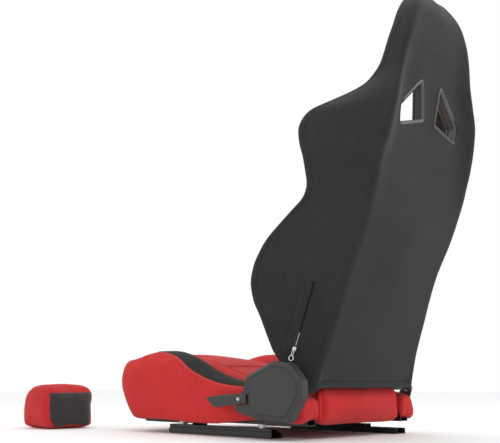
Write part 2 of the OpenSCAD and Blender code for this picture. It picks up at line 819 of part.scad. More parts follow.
// Rod from the lever's arm across to the pivot on the right.
module release_rod() {
    color([0.12, 0.12, 0.12]) {
        xcyl(-up_in - 1, up_in + 1, pivot_y, pivot_z, 5);
        on_right() xcyl(up_in + 1, slave_out + 2, pivot_y, pivot_z, 6);
    }
}

module lever_handle() {
    x0 = arm_in + 3;
    x1 = x0 + 5;
    color([0.2, 0.2, 0.2]) difference() {
        yz_plate(x0, x1) polygon([[22, 88], [34, 93], [90, 98], [149, 101], [149, 80], [126, 77],
                                  [53, 69]]);
        xcyl(x0 - 1, x1 + 1, handle_screw[0], handle_screw[1], 2.5);
    }
}

module lever_screw() {
    color([0.5, 0.5, 0.5]) {
        xcyl(arm_in, arm_in + 8, handle_screw[0], handle_screw[1], 2.4);
        xcyl(arm_in + 8, arm_in + 9, handle_screw[0], handle_screw[1], 4);
    }
}

// ---------- slider release ----------

module release_bar() {
    color([0.1, 0.1, 0.1]) difference() {
        path_bar([[release_x, release_y + 12, release_z], [release_x, release_front, release_z],
                  [-release_x, release_front, release_z], [-release_x, release_y + 12, release_z]],
                 release_r);
        both_sides() xcyl(release_x - 10, release_x + 10, release_y, release_z, pin_r + pin_gap);
    }
}

module latch_plates() {
    color([0.3, 0.3, 0.3]) both_sides() {
        translate([release_x - 2, release_y + 12, release_z - 12]) cube([4, 50, 12 + release_r]);
        for (k = [0 : 2]) translate([release_x + 2 - eps, release_y + 26 + 12 * k, release_z - 12])
            cube([6, 5, 3]);
    }
}

// ---------- support pad ----------

module pad_side(x, inset) {
    h = pad_h;
    d = pad_d;
    translate([x, pad_rear - hook_t - slit, 0]) rotate([90, 0, 90]) linear_extrude(eps)
        polygon([[-inset, 3], [-14, 0], [20 - d + inset, 0], [6 - d + inset, 10], [inset - d, 45],
                 [inset + 6 - d, h - 34], [40 - d, h - 8 - inset], [-50, h - inset],
                 [-12, h - 12 - inset], [-inset, h - 26]]);
}

module support_pad() {
    w = pad_w / 2;
    color([0.78, 0.18, 0.19]) hull() {
        pad_side(pad_x - w, 12);
        pad_side(pad_x - w + 14, 0);
        pad_side(pad_x + w - 14, 0);
        pad_side(pad_x + w - eps, 12);
    }
}

module hook_panel() {
    w = pad_w / 2;
    color([0.08, 0.08, 0.08]) translate([pad_x, pad_rear, 0]) rotate([90, 0, 0])
        linear_extrude(hook_t)
            polygon([[-w + 26, 8], [w - 20, 6], [w - 8, pad_h - 26], [-w + 8, pad_h - 24]]);
}

left_lower_rail();
right_lower_rail();
left_upper_rail();
right_upper_rail();
rail_glides();
rail_spacers();
frame_bolts();
left_side_member();
right_side_member();
front_cross_tube();
rear_cross_tube();
suspension_straps();
release_brackets();
centre_cushion();
left_bolster();
right_bolster();
left_recliner_disc();
right_pivot_bush();
left_lower_plate();
right_lower_plate();
plate_bolts();
left_side_cover();
cover_clips();
left_upper_plate();
right_upper_plate();
left_upright();
right_upright();
back_crossbars();
head_bar();
back_core();
left_hip_wing();
right_hip_wing();
left_shoulder_wing();
right_shoulder_wing();
harness_panel();
left_slot_side();
right_slot_side();
head_pad();
left_rear_trim();
right_rear_trim();
left_front_trim();
right_front_trim();
zip_track();
lever_arm();
release_rod();
lever_handle();
lever_screw();
release_bar();
latch_plates();
zip_slider();
zip_pull();
support_pad();
hook_panel();
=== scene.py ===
"""Upholstery, trim and studio for a reclining racing seat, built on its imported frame."""

import json
import math

import bmesh
import bpy
from bpy.props import FloatProperty, FloatVectorProperty, IntProperty, PointerProperty
from mathutils import Matrix, Vector
from mathutils.bvhtree import BVHTree


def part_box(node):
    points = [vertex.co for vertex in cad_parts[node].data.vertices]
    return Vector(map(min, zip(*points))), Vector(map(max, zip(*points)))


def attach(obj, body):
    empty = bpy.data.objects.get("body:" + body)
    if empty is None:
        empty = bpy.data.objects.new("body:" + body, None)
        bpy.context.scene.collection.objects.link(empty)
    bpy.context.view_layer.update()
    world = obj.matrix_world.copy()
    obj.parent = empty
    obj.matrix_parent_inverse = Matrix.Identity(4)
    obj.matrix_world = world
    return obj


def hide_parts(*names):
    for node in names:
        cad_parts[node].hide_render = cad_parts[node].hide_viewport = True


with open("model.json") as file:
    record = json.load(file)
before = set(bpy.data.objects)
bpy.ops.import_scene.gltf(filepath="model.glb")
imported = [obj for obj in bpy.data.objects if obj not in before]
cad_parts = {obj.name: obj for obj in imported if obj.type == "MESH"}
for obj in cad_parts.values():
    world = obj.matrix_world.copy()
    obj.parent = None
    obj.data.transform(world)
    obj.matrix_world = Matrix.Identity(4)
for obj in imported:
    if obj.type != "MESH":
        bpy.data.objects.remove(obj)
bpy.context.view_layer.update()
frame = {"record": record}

bl_info = {
    "name": "Racing seat upholstery",
    "version": (1, 0, 0),
    "blender": (4, 5, 0),
    "location": "3D View > Sidebar > Racing seat",
    "description": "Cushions, cover, trims, zip and studio of a reclining racing seat",
    "category": "Object",
}

MM = 0.001
LEFT, RIGHT = 1, -1

# Sizes that follow the frame, in millimetres.
BASE_LOW, BASE_HIGH = (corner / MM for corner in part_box("centre_cushion"))
BOLSTER_LOW, BOLSTER_HIGH = (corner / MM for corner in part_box("left_bolster"))
COVER_LOW, COVER_HIGH = (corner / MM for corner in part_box("left_side_cover"))
PAD_LOW, PAD_HIGH = (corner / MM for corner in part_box("support_pad"))
HEAD_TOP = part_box("head_pad")[1].z / MM
HALF_W = BOLSTER_HIGH.x
CENTRE_HALF = BASE_HIGH.x
BASE_REAR = BASE_HIGH.y
NOSE_Y = BOLSTER_LOW.y
RIDGE_H = BOLSTER_HIGH.z
SKIRT_Z = BOLSTER_LOW.z
MEMBER_Z = BASE_LOW.z
THIGH_H = BASE_HIGH.z

# ------------------------------------------------------------------ settings


def colour(name, text, value):
    """A colour property with three parts."""
    return FloatVectorProperty(name=name, description=text, subtype="COLOR", size=3,
                               min=0.0, max=1.0, default=value)


def length(name, text, value, low=0.0, high=1.0):
    """A length property in metres."""
    return FloatProperty(name=name, description=text, default=value, min=low, max=high,
                         unit="LENGTH", subtype="DISTANCE", precision=4)


class SeatColours(bpy.types.PropertyGroup):
    """Colours of the fabrics, plastics and metals."""

    red: colour("Red fabric", "Cloth of the cushions and the pad", (0.500, 0.021, 0.020))
    black: colour("Black fabric", "Cloth of the backrest cover and the bolster bands",
                  (0.021, 0.021, 0.020))
    thread: colour("Seam thread", "Pale thread of the top stitching", (0.70, 0.13, 0.12))
    hook: colour("Hook fabric", "Hook panel of the support pad", (0.012, 0.012, 0.013))
    cover: colour("Cover plastic", "Plastic of the side covers", (0.021, 0.021, 0.020))
    trim: colour("Trim plastic", "Plastic of the harness slot trims", (0.060, 0.060, 0.058))
    steel: colour("Black steel", "Paint of the rails and the frame", (0.005, 0.005, 0.005))
    zinc: colour("Zinc", "Plating of the bolts and spacers", (0.55, 0.55, 0.56))
    nylon: colour("Nylon", "Glides of the rails", (0.62, 0.62, 0.58))


class SeatSewing(bpy.types.PropertyGroup):
    """Sizes of the seams and of the padding."""

    stitch: length("Stitch", "Length of one stitch", 0.0042, 0.002, 0.008)
    stitch_gap: length("Stitch gap", "Space between two stitches", 0.0014, 0.0005, 0.004)
    thread_r: length("Thread", "Radius of the seam thread", 0.00055, 0.0002, 0.001)
    welt_r: length("Welt", "Radius of a piped seam", 0.0019, 0.0005, 0.004)
    voxel: length("Voxel", "Mesh size of a simulated cushion", 0.005, 0.004, 0.008)
    swell: length("Swell", "Furthest that simulated cloth may move", 0.007, 0.002, 0.016)
    pressure: FloatProperty(name="Pressure", description="Air pressure inside a simulated cushion",
                            default=4.0, min=0.5, max=10.0)
    frames: IntProperty(name="Frames", description="Frames of cloth simulation", default=20,
                        min=5, max=60)


class SeatStudio(bpy.types.PropertyGroup):
    """Camera and lights."""

    lens: FloatProperty(name="Lens", description="Focal length of the camera", default=59.76,
                        min=20.0, max=200.0, unit="CAMERA")
    heading: FloatProperty(name="Heading", description="Direction of view about the vertical",
                           default=math.radians(135.59), subtype="ANGLE")
    rise: FloatProperty(name="Rise", description="Upward tilt of the view",
                        default=math.radians(10.10), subtype="ANGLE")
    key: FloatProperty(name="Key light", description="Power of the key light", default=26.0,
                       min=0.0, unit="POWER")
    fill: FloatProperty(name="Fill light", description="Power of the fill light", default=6.0,
                        min=0.0, unit="POWER")
    backdrop: colour("Backdrop", "Colour of the floor and background", (0.93, 0.93, 0.93))


# ------------------------------------------------------------------ curves and outlines


def monotone(keys, values):
    """A smooth function through the given values that never overshoots them."""
    steps = [b - a for a, b in zip(keys, keys[1:])]
    slopes = [(b - a) / h for a, b, h in zip(values, values[1:], steps)]
    tangents = [slopes[0]]
    for i in range(1, len(slopes)):
        before, after = slopes[i - 1], slopes[i]
        if before * after <= 0:
            tangents.append(0.0)
            continue
        w1, w2 = 2 * steps[i] + steps[i - 1], steps[i] + 2 * steps[i - 1]
        tangents.append((w1 + w2) / (w1 / before + w2 / after))
    tangents.append(slopes[-1])

    def at(key):
        key = min(max(key, keys[0]), keys[-1])
        i = max(k for k in range(len(steps)) if keys[k] <= key)
        h = steps[i]
        t = (key - keys[i]) / h
        return (values[i] * (1 + 2 * t) * (1 - t) ** 2 + tangents[i] * h * t * (1 - t) ** 2
                + values[i + 1] * t * t * (3 - 2 * t) + tangents[i + 1] * h * t * t * (t - 1))

    return at


def columns(rows):
    """One smooth function for each column of a table whose first column is the key."""
    keys = [row[0] for row in rows]
    return [monotone(keys, [row[c] for row in rows]) for c in range(1, len(rows[0]))]


def ease(low, high, value):
    """From 0 at low to 1 at high, with a soft start and end."""
    t = min(max((value - low) / (high - low), 0.0), 1.0)
    return t * t * (3 - 2 * t)


def rounded(points, reaches, arc_steps=6, edge_steps=6):
    """An outline through the points whose inner corners are rounded over the given reach.
    Every outline with as many points has as many samples, so that outlines can be lofted."""
    points = [Vector(p) for p in points]
    parts = []
    for i in range(1, len(points) - 1):
        before, corner, after = points[i - 1], points[i], points[i + 1]
        u, v = before - corner, after - corner
        reach = min(reaches[i - 1], 0.47 * u.length, 0.47 * v.length)
        start, end = corner + u.normalized() * reach, corner + v.normalized() * reach
        parts.append([start * (1 - t) ** 2 + corner * (2 * t * (1 - t)) + end * t * t
                      for t in (k / arc_steps for k in range(arc_steps + 1))])
    samples = [points[0]]
    for part in parts + [[points[-1]]]:
        start = samples[-1]
        samples += [start.lerp(part[0], k / edge_steps) for k in range(1, edge_steps)]
        samples += part
    return samples


def rounded_loop(points, reaches, arc_steps=6, edge_steps=6):
    """A closed outline whose corners are rounded, each over its own reach."""
    points = [Vector(p) for p in points]
    middle = (points[0] + points[-1]) / 2
    return rounded([middle] + points + [middle], reaches, arc_steps, edge_steps)[:-1]


def along(points, step):
    """Points at an even distance along a polyline."""
    out, carried = [points[0].copy()], 0.0
    for a, b in zip(points, points[1:]):
        gap = (b - a).length
        place = step - carried
        while place <= gap:
            out.append(a.lerp(b, place / gap))
            place += step
        carried = gap - (place - step)
    return out


# ------------------------------------------------------------------ mesh building


def finish_mesh(bm, name, materials, smooth=True):
    """Turns a bmesh into an object with smooth shading and its materials."""
    mesh = bpy.data.meshes.new(name)
    bm.to_mesh(mesh)
    bm.free()
    for material in materials:
        mesh.materials.append(material)
    if smooth:
        mesh.shade_smooth()
    obj = bpy.data.objects.new(name, mesh)
    bpy.context.scene.collection.objects.link(obj)
    return obj


def loft(rings, closed_ends=True, ring_closed=True):
    """A bmesh skin through rings of equally many points, made by extruding the first ring."""
    bm = bmesh.new()
    first = [bm.verts.new(p) for p in rings[0]]
    pairs = list(zip(first, first[1:] + first[:1])) if ring_closed else list(zip(first, first[1:]))
    edges = [bm.edges.new(pair) for pair in pairs]
    order = first
    ends = [edges]
    for ring in rings[1:]:
        made = bmesh.ops.extrude_edge_only(bm, edges=edges)["geom"]
        new = [g for g in made if isinstance(g, bmesh.types.BMVert)]
        fresh = set(new)
        nxt = []
        for old in order:
            nxt.append(next(e.other_vert(old) for e in old.link_edges if e.other_vert(old) in fresh))
        for vert, place in zip(nxt, ring):
            vert.co = place
        edges = [g for g in made if isinstance(g, bmesh.types.BMEdge)
                 and g.verts[0] in fresh and g.verts[1] in fresh]
        order = nxt
    ends.append(edges)
    if closed_ends:
        for end in ends:
            bmesh.ops.contextual_create(bm, geom=end)
    bmesh.ops.recalc_face_normals(bm, faces=bm.faces)
    return bm


def tube(points, radius, sides=8, closed=False, flat=1.0, up=None):
    """A round or flattened cord along a polyline, as a bmesh."""
    count = len(points)
    rings = []
    for i, p in enumerate(points):
        if closed:
            ahead = points[(i + 1) % count] - points[i - 1]
        else:
            ahead = points[min(i + 1, count - 1)] - points[max(i - 1, 0)]
        ahead.normalize()
        guide = up[i] if up else Vector((0.13, 0.21, 1.0))
        side = ahead.cross(guide).normalized()
        top = side.cross(ahead).normalized()
        rings.append([p + side * math.cos(2 * math.pi * k / sides) * radius
                      + top * math.sin(2 * math.pi * k / sides) * radius * flat
                      for k in range(sides)])
    if closed:
        rings.append(rings[0])
    bm = loft(rings, closed_ends=not closed)
    if closed:
        bmesh.ops.remove_doubles(bm, verts=bm.verts, dist=1e-6)
        bmesh.ops.recalc_face_normals(bm, faces=bm.faces)
    return bm


def merge(target, source):
    """Adds one bmesh to another and frees it."""
    mesh = bpy.data.meshes.new("part")
    source.to_mesh(mesh)
    source.free()
    target.from_mesh(mesh)
    bpy.data.meshes.remove(mesh)


def mirrored(obj, name):
    """A mirror image of a piece across the middle of the seat."""
    bm = bmesh.new()
    bm.from_mesh(obj.data)
    bmesh.ops.scale(bm, vec=(-1, 1, 1), verts=bm.verts)
    bmesh.ops.reverse_faces(bm, faces=bm.faces)
    twin = finish_mesh(bm, name, list(obj.data.materials))
    return twin


def extruded(outline, place, depth, bevel=0.0, segments=2):
    """A plate with the given outline, laid out by place(u, v, w), and its depth along w."""
    bm = bmesh.new()
    face = bm.faces.new([bm.verts.new(place(u, v, 0.0)) for u, v in outline])
    made = bmesh.ops.extrude_face_region(bm, geom=[face])["geom"]
    shift = place(0, 0, depth) - place(0, 0, 0)
    bmesh.ops.translate(bm, vec=shift, verts=[g for g in made if isinstance(g, bmesh.types.BMVert)])
    bmesh.ops.recalc_face_normals(bm, faces=bm.faces)
    if bevel:
        sharp = [e for e in bm.edges if e.calc_face_angle(0) > 0.9]
        bmesh.ops.bevel(bm, geom=sharp, offset=bevel, offset_type="OFFSET", affect="EDGES",
                        segments=segments, profile=0.5, material=-1, clamp_overlap=True)
    return bm


def settle(obj):
    """Applies an object's modifiers to its mesh."""
    mesh = bpy.data.meshes.new_from_object(obj.evaluated_get(bpy.context.evaluated_depsgraph_get()))
    old = obj.data
    obj.modifiers.clear()
    obj.data = mesh
    bpy.data.meshes.remove(old)
    mesh.shade_smooth()
    return obj


def subdivide(obj, levels=1, apply=False):
    """Adds a subdivision surface that renders as it shows."""
    modifier = obj.modifiers.new("Subdivision", "SUBSURF")
    modifier.levels = modifier.render_levels = levels
    return settle(obj) if apply else obj


def puff(obj, swell=None, held=None):
    """Remeshes a cushion, swells it with simulated cloth and keeps the movement within bounds.
    held(point) is true where the cloth is fastened down."""
    sewing = bpy.context.scene.seat_sewing
    swell = swell or sewing.swell
    remesh = obj.modifiers.new("Remesh", "REMESH")
    remesh.mode = "VOXEL"
    remesh.voxel_size = sewing.voxel
    settle(obj)
    materials = list(obj.data.materials)
    start = [v.co.copy() for v in obj.data.vertices]
    if held:
        group = obj.vertex_groups.new(name="held")
        group.add([v.index for v in obj.data.vertices if held(v.co)], 1.0, "REPLACE")
    cloth = obj.modifiers.new("Cloth", "CLOTH")
    cloth.settings.quality = 5
    cloth.settings.mass = 0.3
    cloth.settings.tension_stiffness = cloth.settings.compression_stiffness = 15
    cloth.settings.use_pressure = True
    cloth.settings.uniform_pressure_force = sewing.pressure
    cloth.settings.effector_weights.gravity = 0
    cloth.collision_settings.use_collision = False
    if held:
        cloth.settings.vertex_group_mass = "held"
    scene = bpy.context.scene
    for number in range(1, sewing.frames + 1):
        scene.frame_set(number)
    settle(obj)
    for vertex, place in zip(obj.data.vertices, start):
        move = vertex.co - place
        if move.length > swell:
            vertex.co = place + move * (swell / move.length)
    bm = bmesh.new()
    bm.from_mesh(obj.data)
    bmesh.ops.smooth_vert(bm, verts=bm.verts, factor=0.5, use_axis_x=True, use_axis_y=True,
                          use_axis_z=True)
    bm.to_mesh(obj.data)
    bm.free()
    scene.frame_set(1)
    obj.vertex_groups.clear()
    obj.data.materials.clear()
    for material in materials:
        obj.data.materials.append(material)
    return subdivide(obj, 1, apply=True)


def press(obj, depth_at):
    """Moves each vertex inwards along its normal by depth_at(point), for seams and channels."""
    moves = [v.normal * -depth_at(v.co) for v in obj.data.vertices]
    for vertex, move in zip(obj.data.vertices, moves):
        vertex.co += move
    obj.data.update()


def surface(obj):
    """A search tree of an object's finished surface."""
    graph = bpy.context.evaluated_depsgraph_get()
    return BVHTree.FromObject(obj, graph)


def stitches(name, lines, normals, material, sewing):
    """Rows of small sewn stitches that lie along the lines, as one piece."""
    bm = bmesh.new()
    pitch = sewing.stitch + sewing.stitch_gap
    for line, lift in zip(lines, normals):
        path = along(line, pitch)
        for i in range(len(path) - 1):
            ahead = path[i + 1] - path[i]
            share = i / max(len(path) - 1, 1) * (len(lift) - 1)
            up = lift[int(share)]
            side = ahead.cross(up).normalized()
            turn = Matrix((ahead.normalized(), side, ahead.cross(side).normalized())).transposed()
            place = Matrix.Translation((path[i] + path[i + 1]) / 2) @ turn.to_4x4()
            size = Matrix.Diagonal((sewing.stitch / 2, sewing.thread_r, sewing.thread_r, 1.0))
            bmesh.ops.create_uvsphere(bm, u_segments=6, v_segments=4, radius=1.0,
                                      matrix=place @ size)
    return finish_mesh(bm, name, [material])

# ------------------------------------------------------------------ materials


class Nodes:
    """Builds a material's node tree from short calls."""

    def __init__(self, name):
        self.material = bpy.data.materials.new(name)
        self.material.use_nodes = True
        self.tree = self.material.node_tree
        self.shader = next(n for n in self.tree.nodes if n.type == "BSDF_PRINCIPLED")
        self.places = self.add("ShaderNodeTexCoord")

    def add(self, kind, settings=(), **sockets):
        """A node with the given settings and socket values or links."""
        node = self.tree.nodes.new(kind)
        for key, value in dict(settings).items():
            setattr(node, key, value)
        for key, value in sockets.items():
            socket = node.inputs[int(key[1:])] if key[0] == "i" and key[1:].isdigit() \
                else node.inputs[key.replace("_", " ")]
            self.set(socket, value)
        return node

    def set(self, socket, value):
        """A link if the value is a socket, and a constant otherwise."""
        if isinstance(value, bpy.types.NodeSocket):
            self.tree.links.new(value, socket)
        else:
            socket.default_value = value

    def math(self, operation, a, b=0.0):
        """The result of a math node."""
        return self.add("ShaderNodeMath", {"operation": operation}, i0=a, i1=b).outputs[0]

    def noise(self, scale, detail=3.0, rough=0.55, stretch=(1, 1, 1)):
        """Noise on the object's own coordinates, stretched along its axes."""
        mapping = self.add("ShaderNodeMapping", i0=self.places.outputs["Object"], Scale=stretch)
        return self.add("ShaderNodeTexNoise", Vector=mapping.outputs[0], Scale=scale,
                        Detail=detail, Roughness=rough).outputs["Fac"]

    def mix(self, share, a, b):
        """A colour between a and b."""
        node = self.add("ShaderNodeMix", {"data_type": "RGBA"}, i0=share)
        self.set(node.inputs[6], a)
        self.set(node.inputs[7], b)
        return node.outputs[2]

    def span(self, value, low, high, to_low, to_high):
        """Maps a value from one range to another."""
        return self.add("ShaderNodeMapRange", Value=value, From_Min=low, From_Max=high,
                        To_Min=to_low, To_Max=to_high).outputs[0]

    def bump(self, height, strength, distance):
        """Gives the shader a bumpy normal."""
        node = self.add("ShaderNodeBump", Height=height, Strength=strength, Distance=distance)
        self.tree.links.new(node.outputs[0], self.shader.inputs["Normal"])

    def shade(self, **values):
        """Sets sockets of the shader."""
        for key, value in values.items():
            self.set(self.shader.inputs[key.replace("_", " ")], value)
        return self.material


def rgba(shade, gain=1.0):
    """A colour with alpha from three parts."""
    return (*[min(1.0, part * gain) for part in shade], 1.0)


def woven(name, shade, pitch=0.0021, depth=0.00035, contrast=0.22, sheen=0.25):
    """Ribbed upholstery cloth: a lattice of ribs and threads, slubs, broad lighter and darker
    patches, and painted shade in the rib grooves.
    """
    n = Nodes(name)
    spot = n.add("ShaderNodeSeparateXYZ", Vector=n.places.outputs["Object"])
    facing = n.add("ShaderNodeSeparateXYZ", Vector=n.places.outputs["Normal"])
    lying = n.span(n.math("ABSOLUTE", facing.outputs[2]), 0.6, 0.8, 0.0, 1.0)
    across = n.math("SUBTRACT", n.math("ABSOLUTE", spot.outputs[0]), spot.outputs[1])
    along_top = n.math("ADD", spot.outputs[0], spot.outputs[1])
    up = n.math("ADD", n.math("MULTIPLY", spot.outputs[2], n.math("SUBTRACT", 1.0, lying)),
                n.math("MULTIPLY", along_top, lying))
    turns = 2 * math.pi / pitch
    rib = n.math("SINE", n.math("MULTIPLY", across, turns))
    thread = n.math("SINE", n.math("MULTIPLY", up, turns * 1.35))
    lattice = n.math("ADD", n.math("MULTIPLY", rib, 0.7), n.math("MULTIPLY", rib, thread))
    slub = n.noise(420.0, 2.0, 0.6, (1.0, 1.0, 0.07))
    fibre = n.noise(2600.0, 2.0)
    height = n.math("ADD", n.math("MULTIPLY", lattice, 0.5), n.math("MULTIPLY", fibre, 0.6))
    # The rib lattice also lightens the colour on the ribs and darkens it in the grooves between
    # them: painted shade that follows the relief.
    slub_tone_and_groove_shade = n.math("ADD", n.span(slub, 0.3, 0.7, -0.5, 0.5), n.math("MULTIPLY", lattice, 0.16))
    # Broad patches of lighter and darker tone.
    broad = n.span(n.noise(7.0, 3.0), 0.35, 0.65, -0.35, 0.35)
    level = n.span(n.math("ADD", slub_tone_and_groove_shade, broad), -1.0, 1.0, 0.0, 1.0)
    n.shade(Base_Color=n.mix(level, rgba(shade, 1 - contrast), rgba(shade, 1 + contrast)),
            Roughness=n.span(fibre, 0.3, 0.7, 0.78, 0.95), Sheen_Weight=sheen,
            Sheen_Roughness=0.45, Specular_IOR_Level=0.25)
    n.bump(height, 0.55, depth)
    return n.material


def moulded(name, shade, rough=0.42, grain=900.0, depth=0.00012):
    """Satin plastic with a fine moulded grain, handling marks and duller patches."""
    n = Nodes(name)
    skin = n.add("ShaderNodeTexVoronoi", Vector=n.places.outputs["Object"], Scale=grain)
    scuff = n.noise(60.0, 5.0, 0.7, (1.0, 1.0, 2.5))
    patch = n.noise(9.0)
    scratched = n.span(scuff, 0.62, 0.75, 0.0, 1.0)
    n.shade(Base_Color=n.mix(n.math("MULTIPLY", scratched, 0.35), rgba(shade), rgba(shade, 1.9)),
            Roughness=n.math("ADD", n.span(patch, 0.3, 0.7, rough - 0.06, rough + 0.08),
                             n.math("MULTIPLY", scratched, 0.12)))
    n.bump(n.math("ADD", skin.outputs["Distance"], n.math("MULTIPLY", scuff, 0.4)), 0.5, depth)
    return n.material


def painted(name, shade, rough=0.38):
    """Black paint on steel, with orange peel and dust."""
    n = Nodes(name)
    peel = n.noise(700.0, 2.0)
    dust = n.span(n.noise(35.0, 6.0, 0.7), 0.5, 0.75, 0.0, 1.0)
    n.shade(Base_Color=n.mix(n.math("MULTIPLY", dust, 0.4), rgba(shade), rgba(shade, 3.0)),
            Roughness=n.span(dust, 0.0, 1.0, rough, rough + 0.25), Coat_Weight=0.15,
            Coat_Roughness=0.3)
    n.bump(peel, 0.25, 0.00015)
    return n.material


def metal(name, shade, rough=0.3, brushed=(1.0, 1.0, 14.0)):
    """Bare or plated metal with fine drawn lines."""
    n = Nodes(name)
    lines = n.noise(320.0, 4.0, 0.6, brushed)
    stain = n.noise(40.0, 3.0)
    n.shade(Base_Color=n.mix(n.span(stain, 0.35, 0.7, 0.0, 1.0), rgba(shade, 0.8), rgba(shade, 1.1)),
            Metallic=1.0, Roughness=n.span(lines, 0.2, 0.8, rough - 0.08, rough + 0.14))
    n.bump(lines, 0.2, 0.00008)
    return n.material


def hooked(name, shade):
    """Hook tape: a dense field of tiny hooks."""
    n = Nodes(name)
    hooks = n.add("ShaderNodeTexVoronoi", Vector=n.places.outputs["Object"], Scale=520.0)
    patch = n.noise(18.0, 4.0)
    n.shade(Base_Color=n.mix(n.span(hooks.outputs["Distance"], 0.0, 0.7, 0.0, 1.0),
                             rgba(shade, 2.6), rgba(shade, 0.5)),
            Roughness=n.span(patch, 0.3, 0.7, 0.55, 0.8), Sheen_Weight=0.15)
    n.bump(hooks.outputs["Distance"], 0.8, 0.0008)
    return n.material


def thread_finish(name, shade):
    """Twisted sewing thread."""
    n = Nodes(name)
    twist = n.noise(1800.0, 2.0, 0.5, (1.0, 1.0, 0.5))
    n.shade(Base_Color=n.mix(twist, rgba(shade, 0.75), rgba(shade, 1.2)), Roughness=0.6,
            Sheen_Weight=0.2)
    n.bump(twist, 0.4, 0.0002)
    return n.material


FINISHES = {}


def make_finishes(colours):
    """All the finishes, by the record's material slots and by the names used below."""
    FINISHES.update({
        "red_fabric": woven("Red fabric", colours.red, sheen=0.08),
        "black_fabric": woven("Black fabric", colours.black, contrast=0.30, sheen=0.10),
        "cover_plastic": moulded("Cover plastic", colours.cover),
        "lever_plastic": moulded("Lever plastic", [part * 1.15 for part in colours.cover], 0.36),
        "trim_plastic": moulded("Trim plastic", colours.trim, 0.30, 1400.0, 0.00006),
        "black_steel": painted("Black steel", colours.steel),
        "zinc_steel": metal("Zinc steel", colours.zinc, 0.34),
        "bright_metal": metal("Bright metal", (0.78, 0.78, 0.76), 0.2),
        "nylon": moulded("Nylon", colours.nylon, 0.5, 300.0),
        "webbing": woven("Webbing", (0.04, 0.04, 0.04), 0.0035, 0.0006),
        "hook_fabric": hooked("Hook fabric", colours.hook),
        "thread": thread_finish("Red seam thread", colours.thread),
        "black_thread": thread_finish("Black seam thread", [part * 2.4 for part in colours.black]),
        "zip_teeth": metal("Zip teeth", (0.62, 0.62, 0.60), 0.28),
        # A near-black cloth, much darker than the black fabric: zip tape whose colour also carries
        # painted shade of the slit and of the placket's edge.
        "dark_tape_and_painted_shade": woven("Zip tape and painted shade", (0.004, 0.004, 0.004), contrast=0.2),
    })


def dress(piece, body, stands_for=()):
    """Puts a piece on its body and hides the CAD nodes that it stands for."""
    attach(piece, body)
    if stands_for:
        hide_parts(*stands_for)
    return piece


# ------------------------------------------------------------------ backrest

# Heights, then the ridge's x and y, the wing edge's x and y, the half width and y of the front
# panel, and how far the rear panel lies in front of the ridges.
BACK_ROWS = [
    (124, 194, 290, 220, 232, 150, 200, 0), (150, 189, 300, 223, 222, 150, 206, 0),
    (190, 185, 315, 227, 205, 146, 222, 0), (230, 183, 330, 231, 189, 142, 240, 0),
    (274, 181, 347, 234, 171, 140, 260, 0), (312, 179, 361, 236, 153, 138, 276, 0),
    (350, 179, 375, 236, 146, 138, 292, 0), (385, 179, 390, 233, 151, 139, 310, 0),
    (420, 180, 408, 230, 168, 140, 328, 0), (450, 182, 423, 228, 192, 142, 345, 0),
    (478, 184, 435, 226, 226, 144, 357, 1), (505, 186, 446, 223, 260, 146, 368, 3),
    (530, 187, 456, 222, 293, 148, 378, 6), (560, 188, 467, 227, 309, 150, 388, 9),
    (588, 189, 475, 236, 312, 150, 397, 13), (615, 186, 486, 245, 314, 150, 407, 18),
    (645, 181, 497, 250, 309, 150, 424, 23), (675, 177, 506, 251, 307, 149, 446, 28),
    (702, 174, 512, 243, 312, 146, 458, 31), (725, 170, 517, 228, 326, 140, 462, 32),
    (739, 168, 518, 205, 341, 134, 464, 32), (752, 165, 519, 185, 372, 128, 466, 31),
    (766, 162, 519, 167, 404, 122, 468, 30), (780, 159, 520, 153, 423, 116, 470, 29),
    (798, 154, 521, 145, 438, 112, 471, 26), (815, 149, 522, 142, 452, 108, 471, 22),
    (841, 143, 524, 138, 462, 104, 470, 16), (874, 133, 528, 134, 472, 98, 469, 9),
    (917, 115, 531, 123, 483, 88, 468, 4), (945, 101, 530, 110, 485, 78, 469, 1),
    (970, 84, 524, 92, 486, 64, 470, 0), (988, 66, 516, 74, 486, 52, 472, 0),
    (999, 52, 509, 58, 489, 40, 477, 0), (1003, 44, 503, 48, 490, 34, 481, 0)]
RAISE = HEAD_TOP - 1005.0
LIP_Z = 124.0
WING_T = 38.0
ARC_STEPS, EDGE_STEPS = 5, 6
EDGE_OUT = 5.0


def back_height(drawn):
    """Height of a row, for a backrest whose top is at the frame's."""
    return drawn + RAISE * ease(150, 670, drawn)


def half_outline(values):
    """Half of the backrest's section, from the middle of the front round to the rear's."""
    ridge_x, ridge_y, edge_x, edge_y, panel_x, panel_y, recess = values
    edge_x, edge_y = edge_x + EDGE_OUT, edge_y - EDGE_OUT
    wing = min(WING_T, 0.45 * edge_x)
    inner_x = max(edge_x - wing, panel_x + 4)
    side = Vector((ridge_x - edge_x, ridge_y - edge_y))
    out = Vector((side.y, -side.x)).normalized() * (3.0 + 0.012 * side.length)
    if out.x < 0:
        out = -out
    belly = Vector((edge_x, edge_y)) + side * 0.5 + out
    inset = 44 if recess > 2 else 34
    points = [(0, panel_y), (panel_x, panel_y), (inner_x, edge_y + 4), (edge_x, edge_y), belly,
              (ridge_x, ridge_y), (max(ridge_x - inset, 8), ridge_y - 0.86 * recess - 0.5),
              (0, ridge_y - recess + (2.0 if recess < 2 else 0.0))]
    return rounded(points, [26, 15, 14, 40, 17, 22], ARC_STEPS, EDGE_STEPS)


def back_ring(values, drawn, shrink=0.0, low=False):
    """The whole closed section at a height, in metres."""
    half = half_outline(values)
    middle = Vector((0.0, (values[1] + values[5]) / 2))
    ring = []
    for sign, points in ((1, half), (-1, half[-2:0:-1])):
        for p in points:
            q = middle + (Vector(p) - middle) * (1 - shrink)
            z = back_height(drawn)
            lip = 150 - (150 - LIP_Z) * ease(238, 262, q.y)
            lip -= 19 * ease(170, 188, q.x) * ease(252, 270, q.y)
            if z < 196:
                z = lip + (z - 124) * (196 - lip) / 72.0
            ring.append(Vector((sign * q.x, q.y, z)) * MM)
    return ring


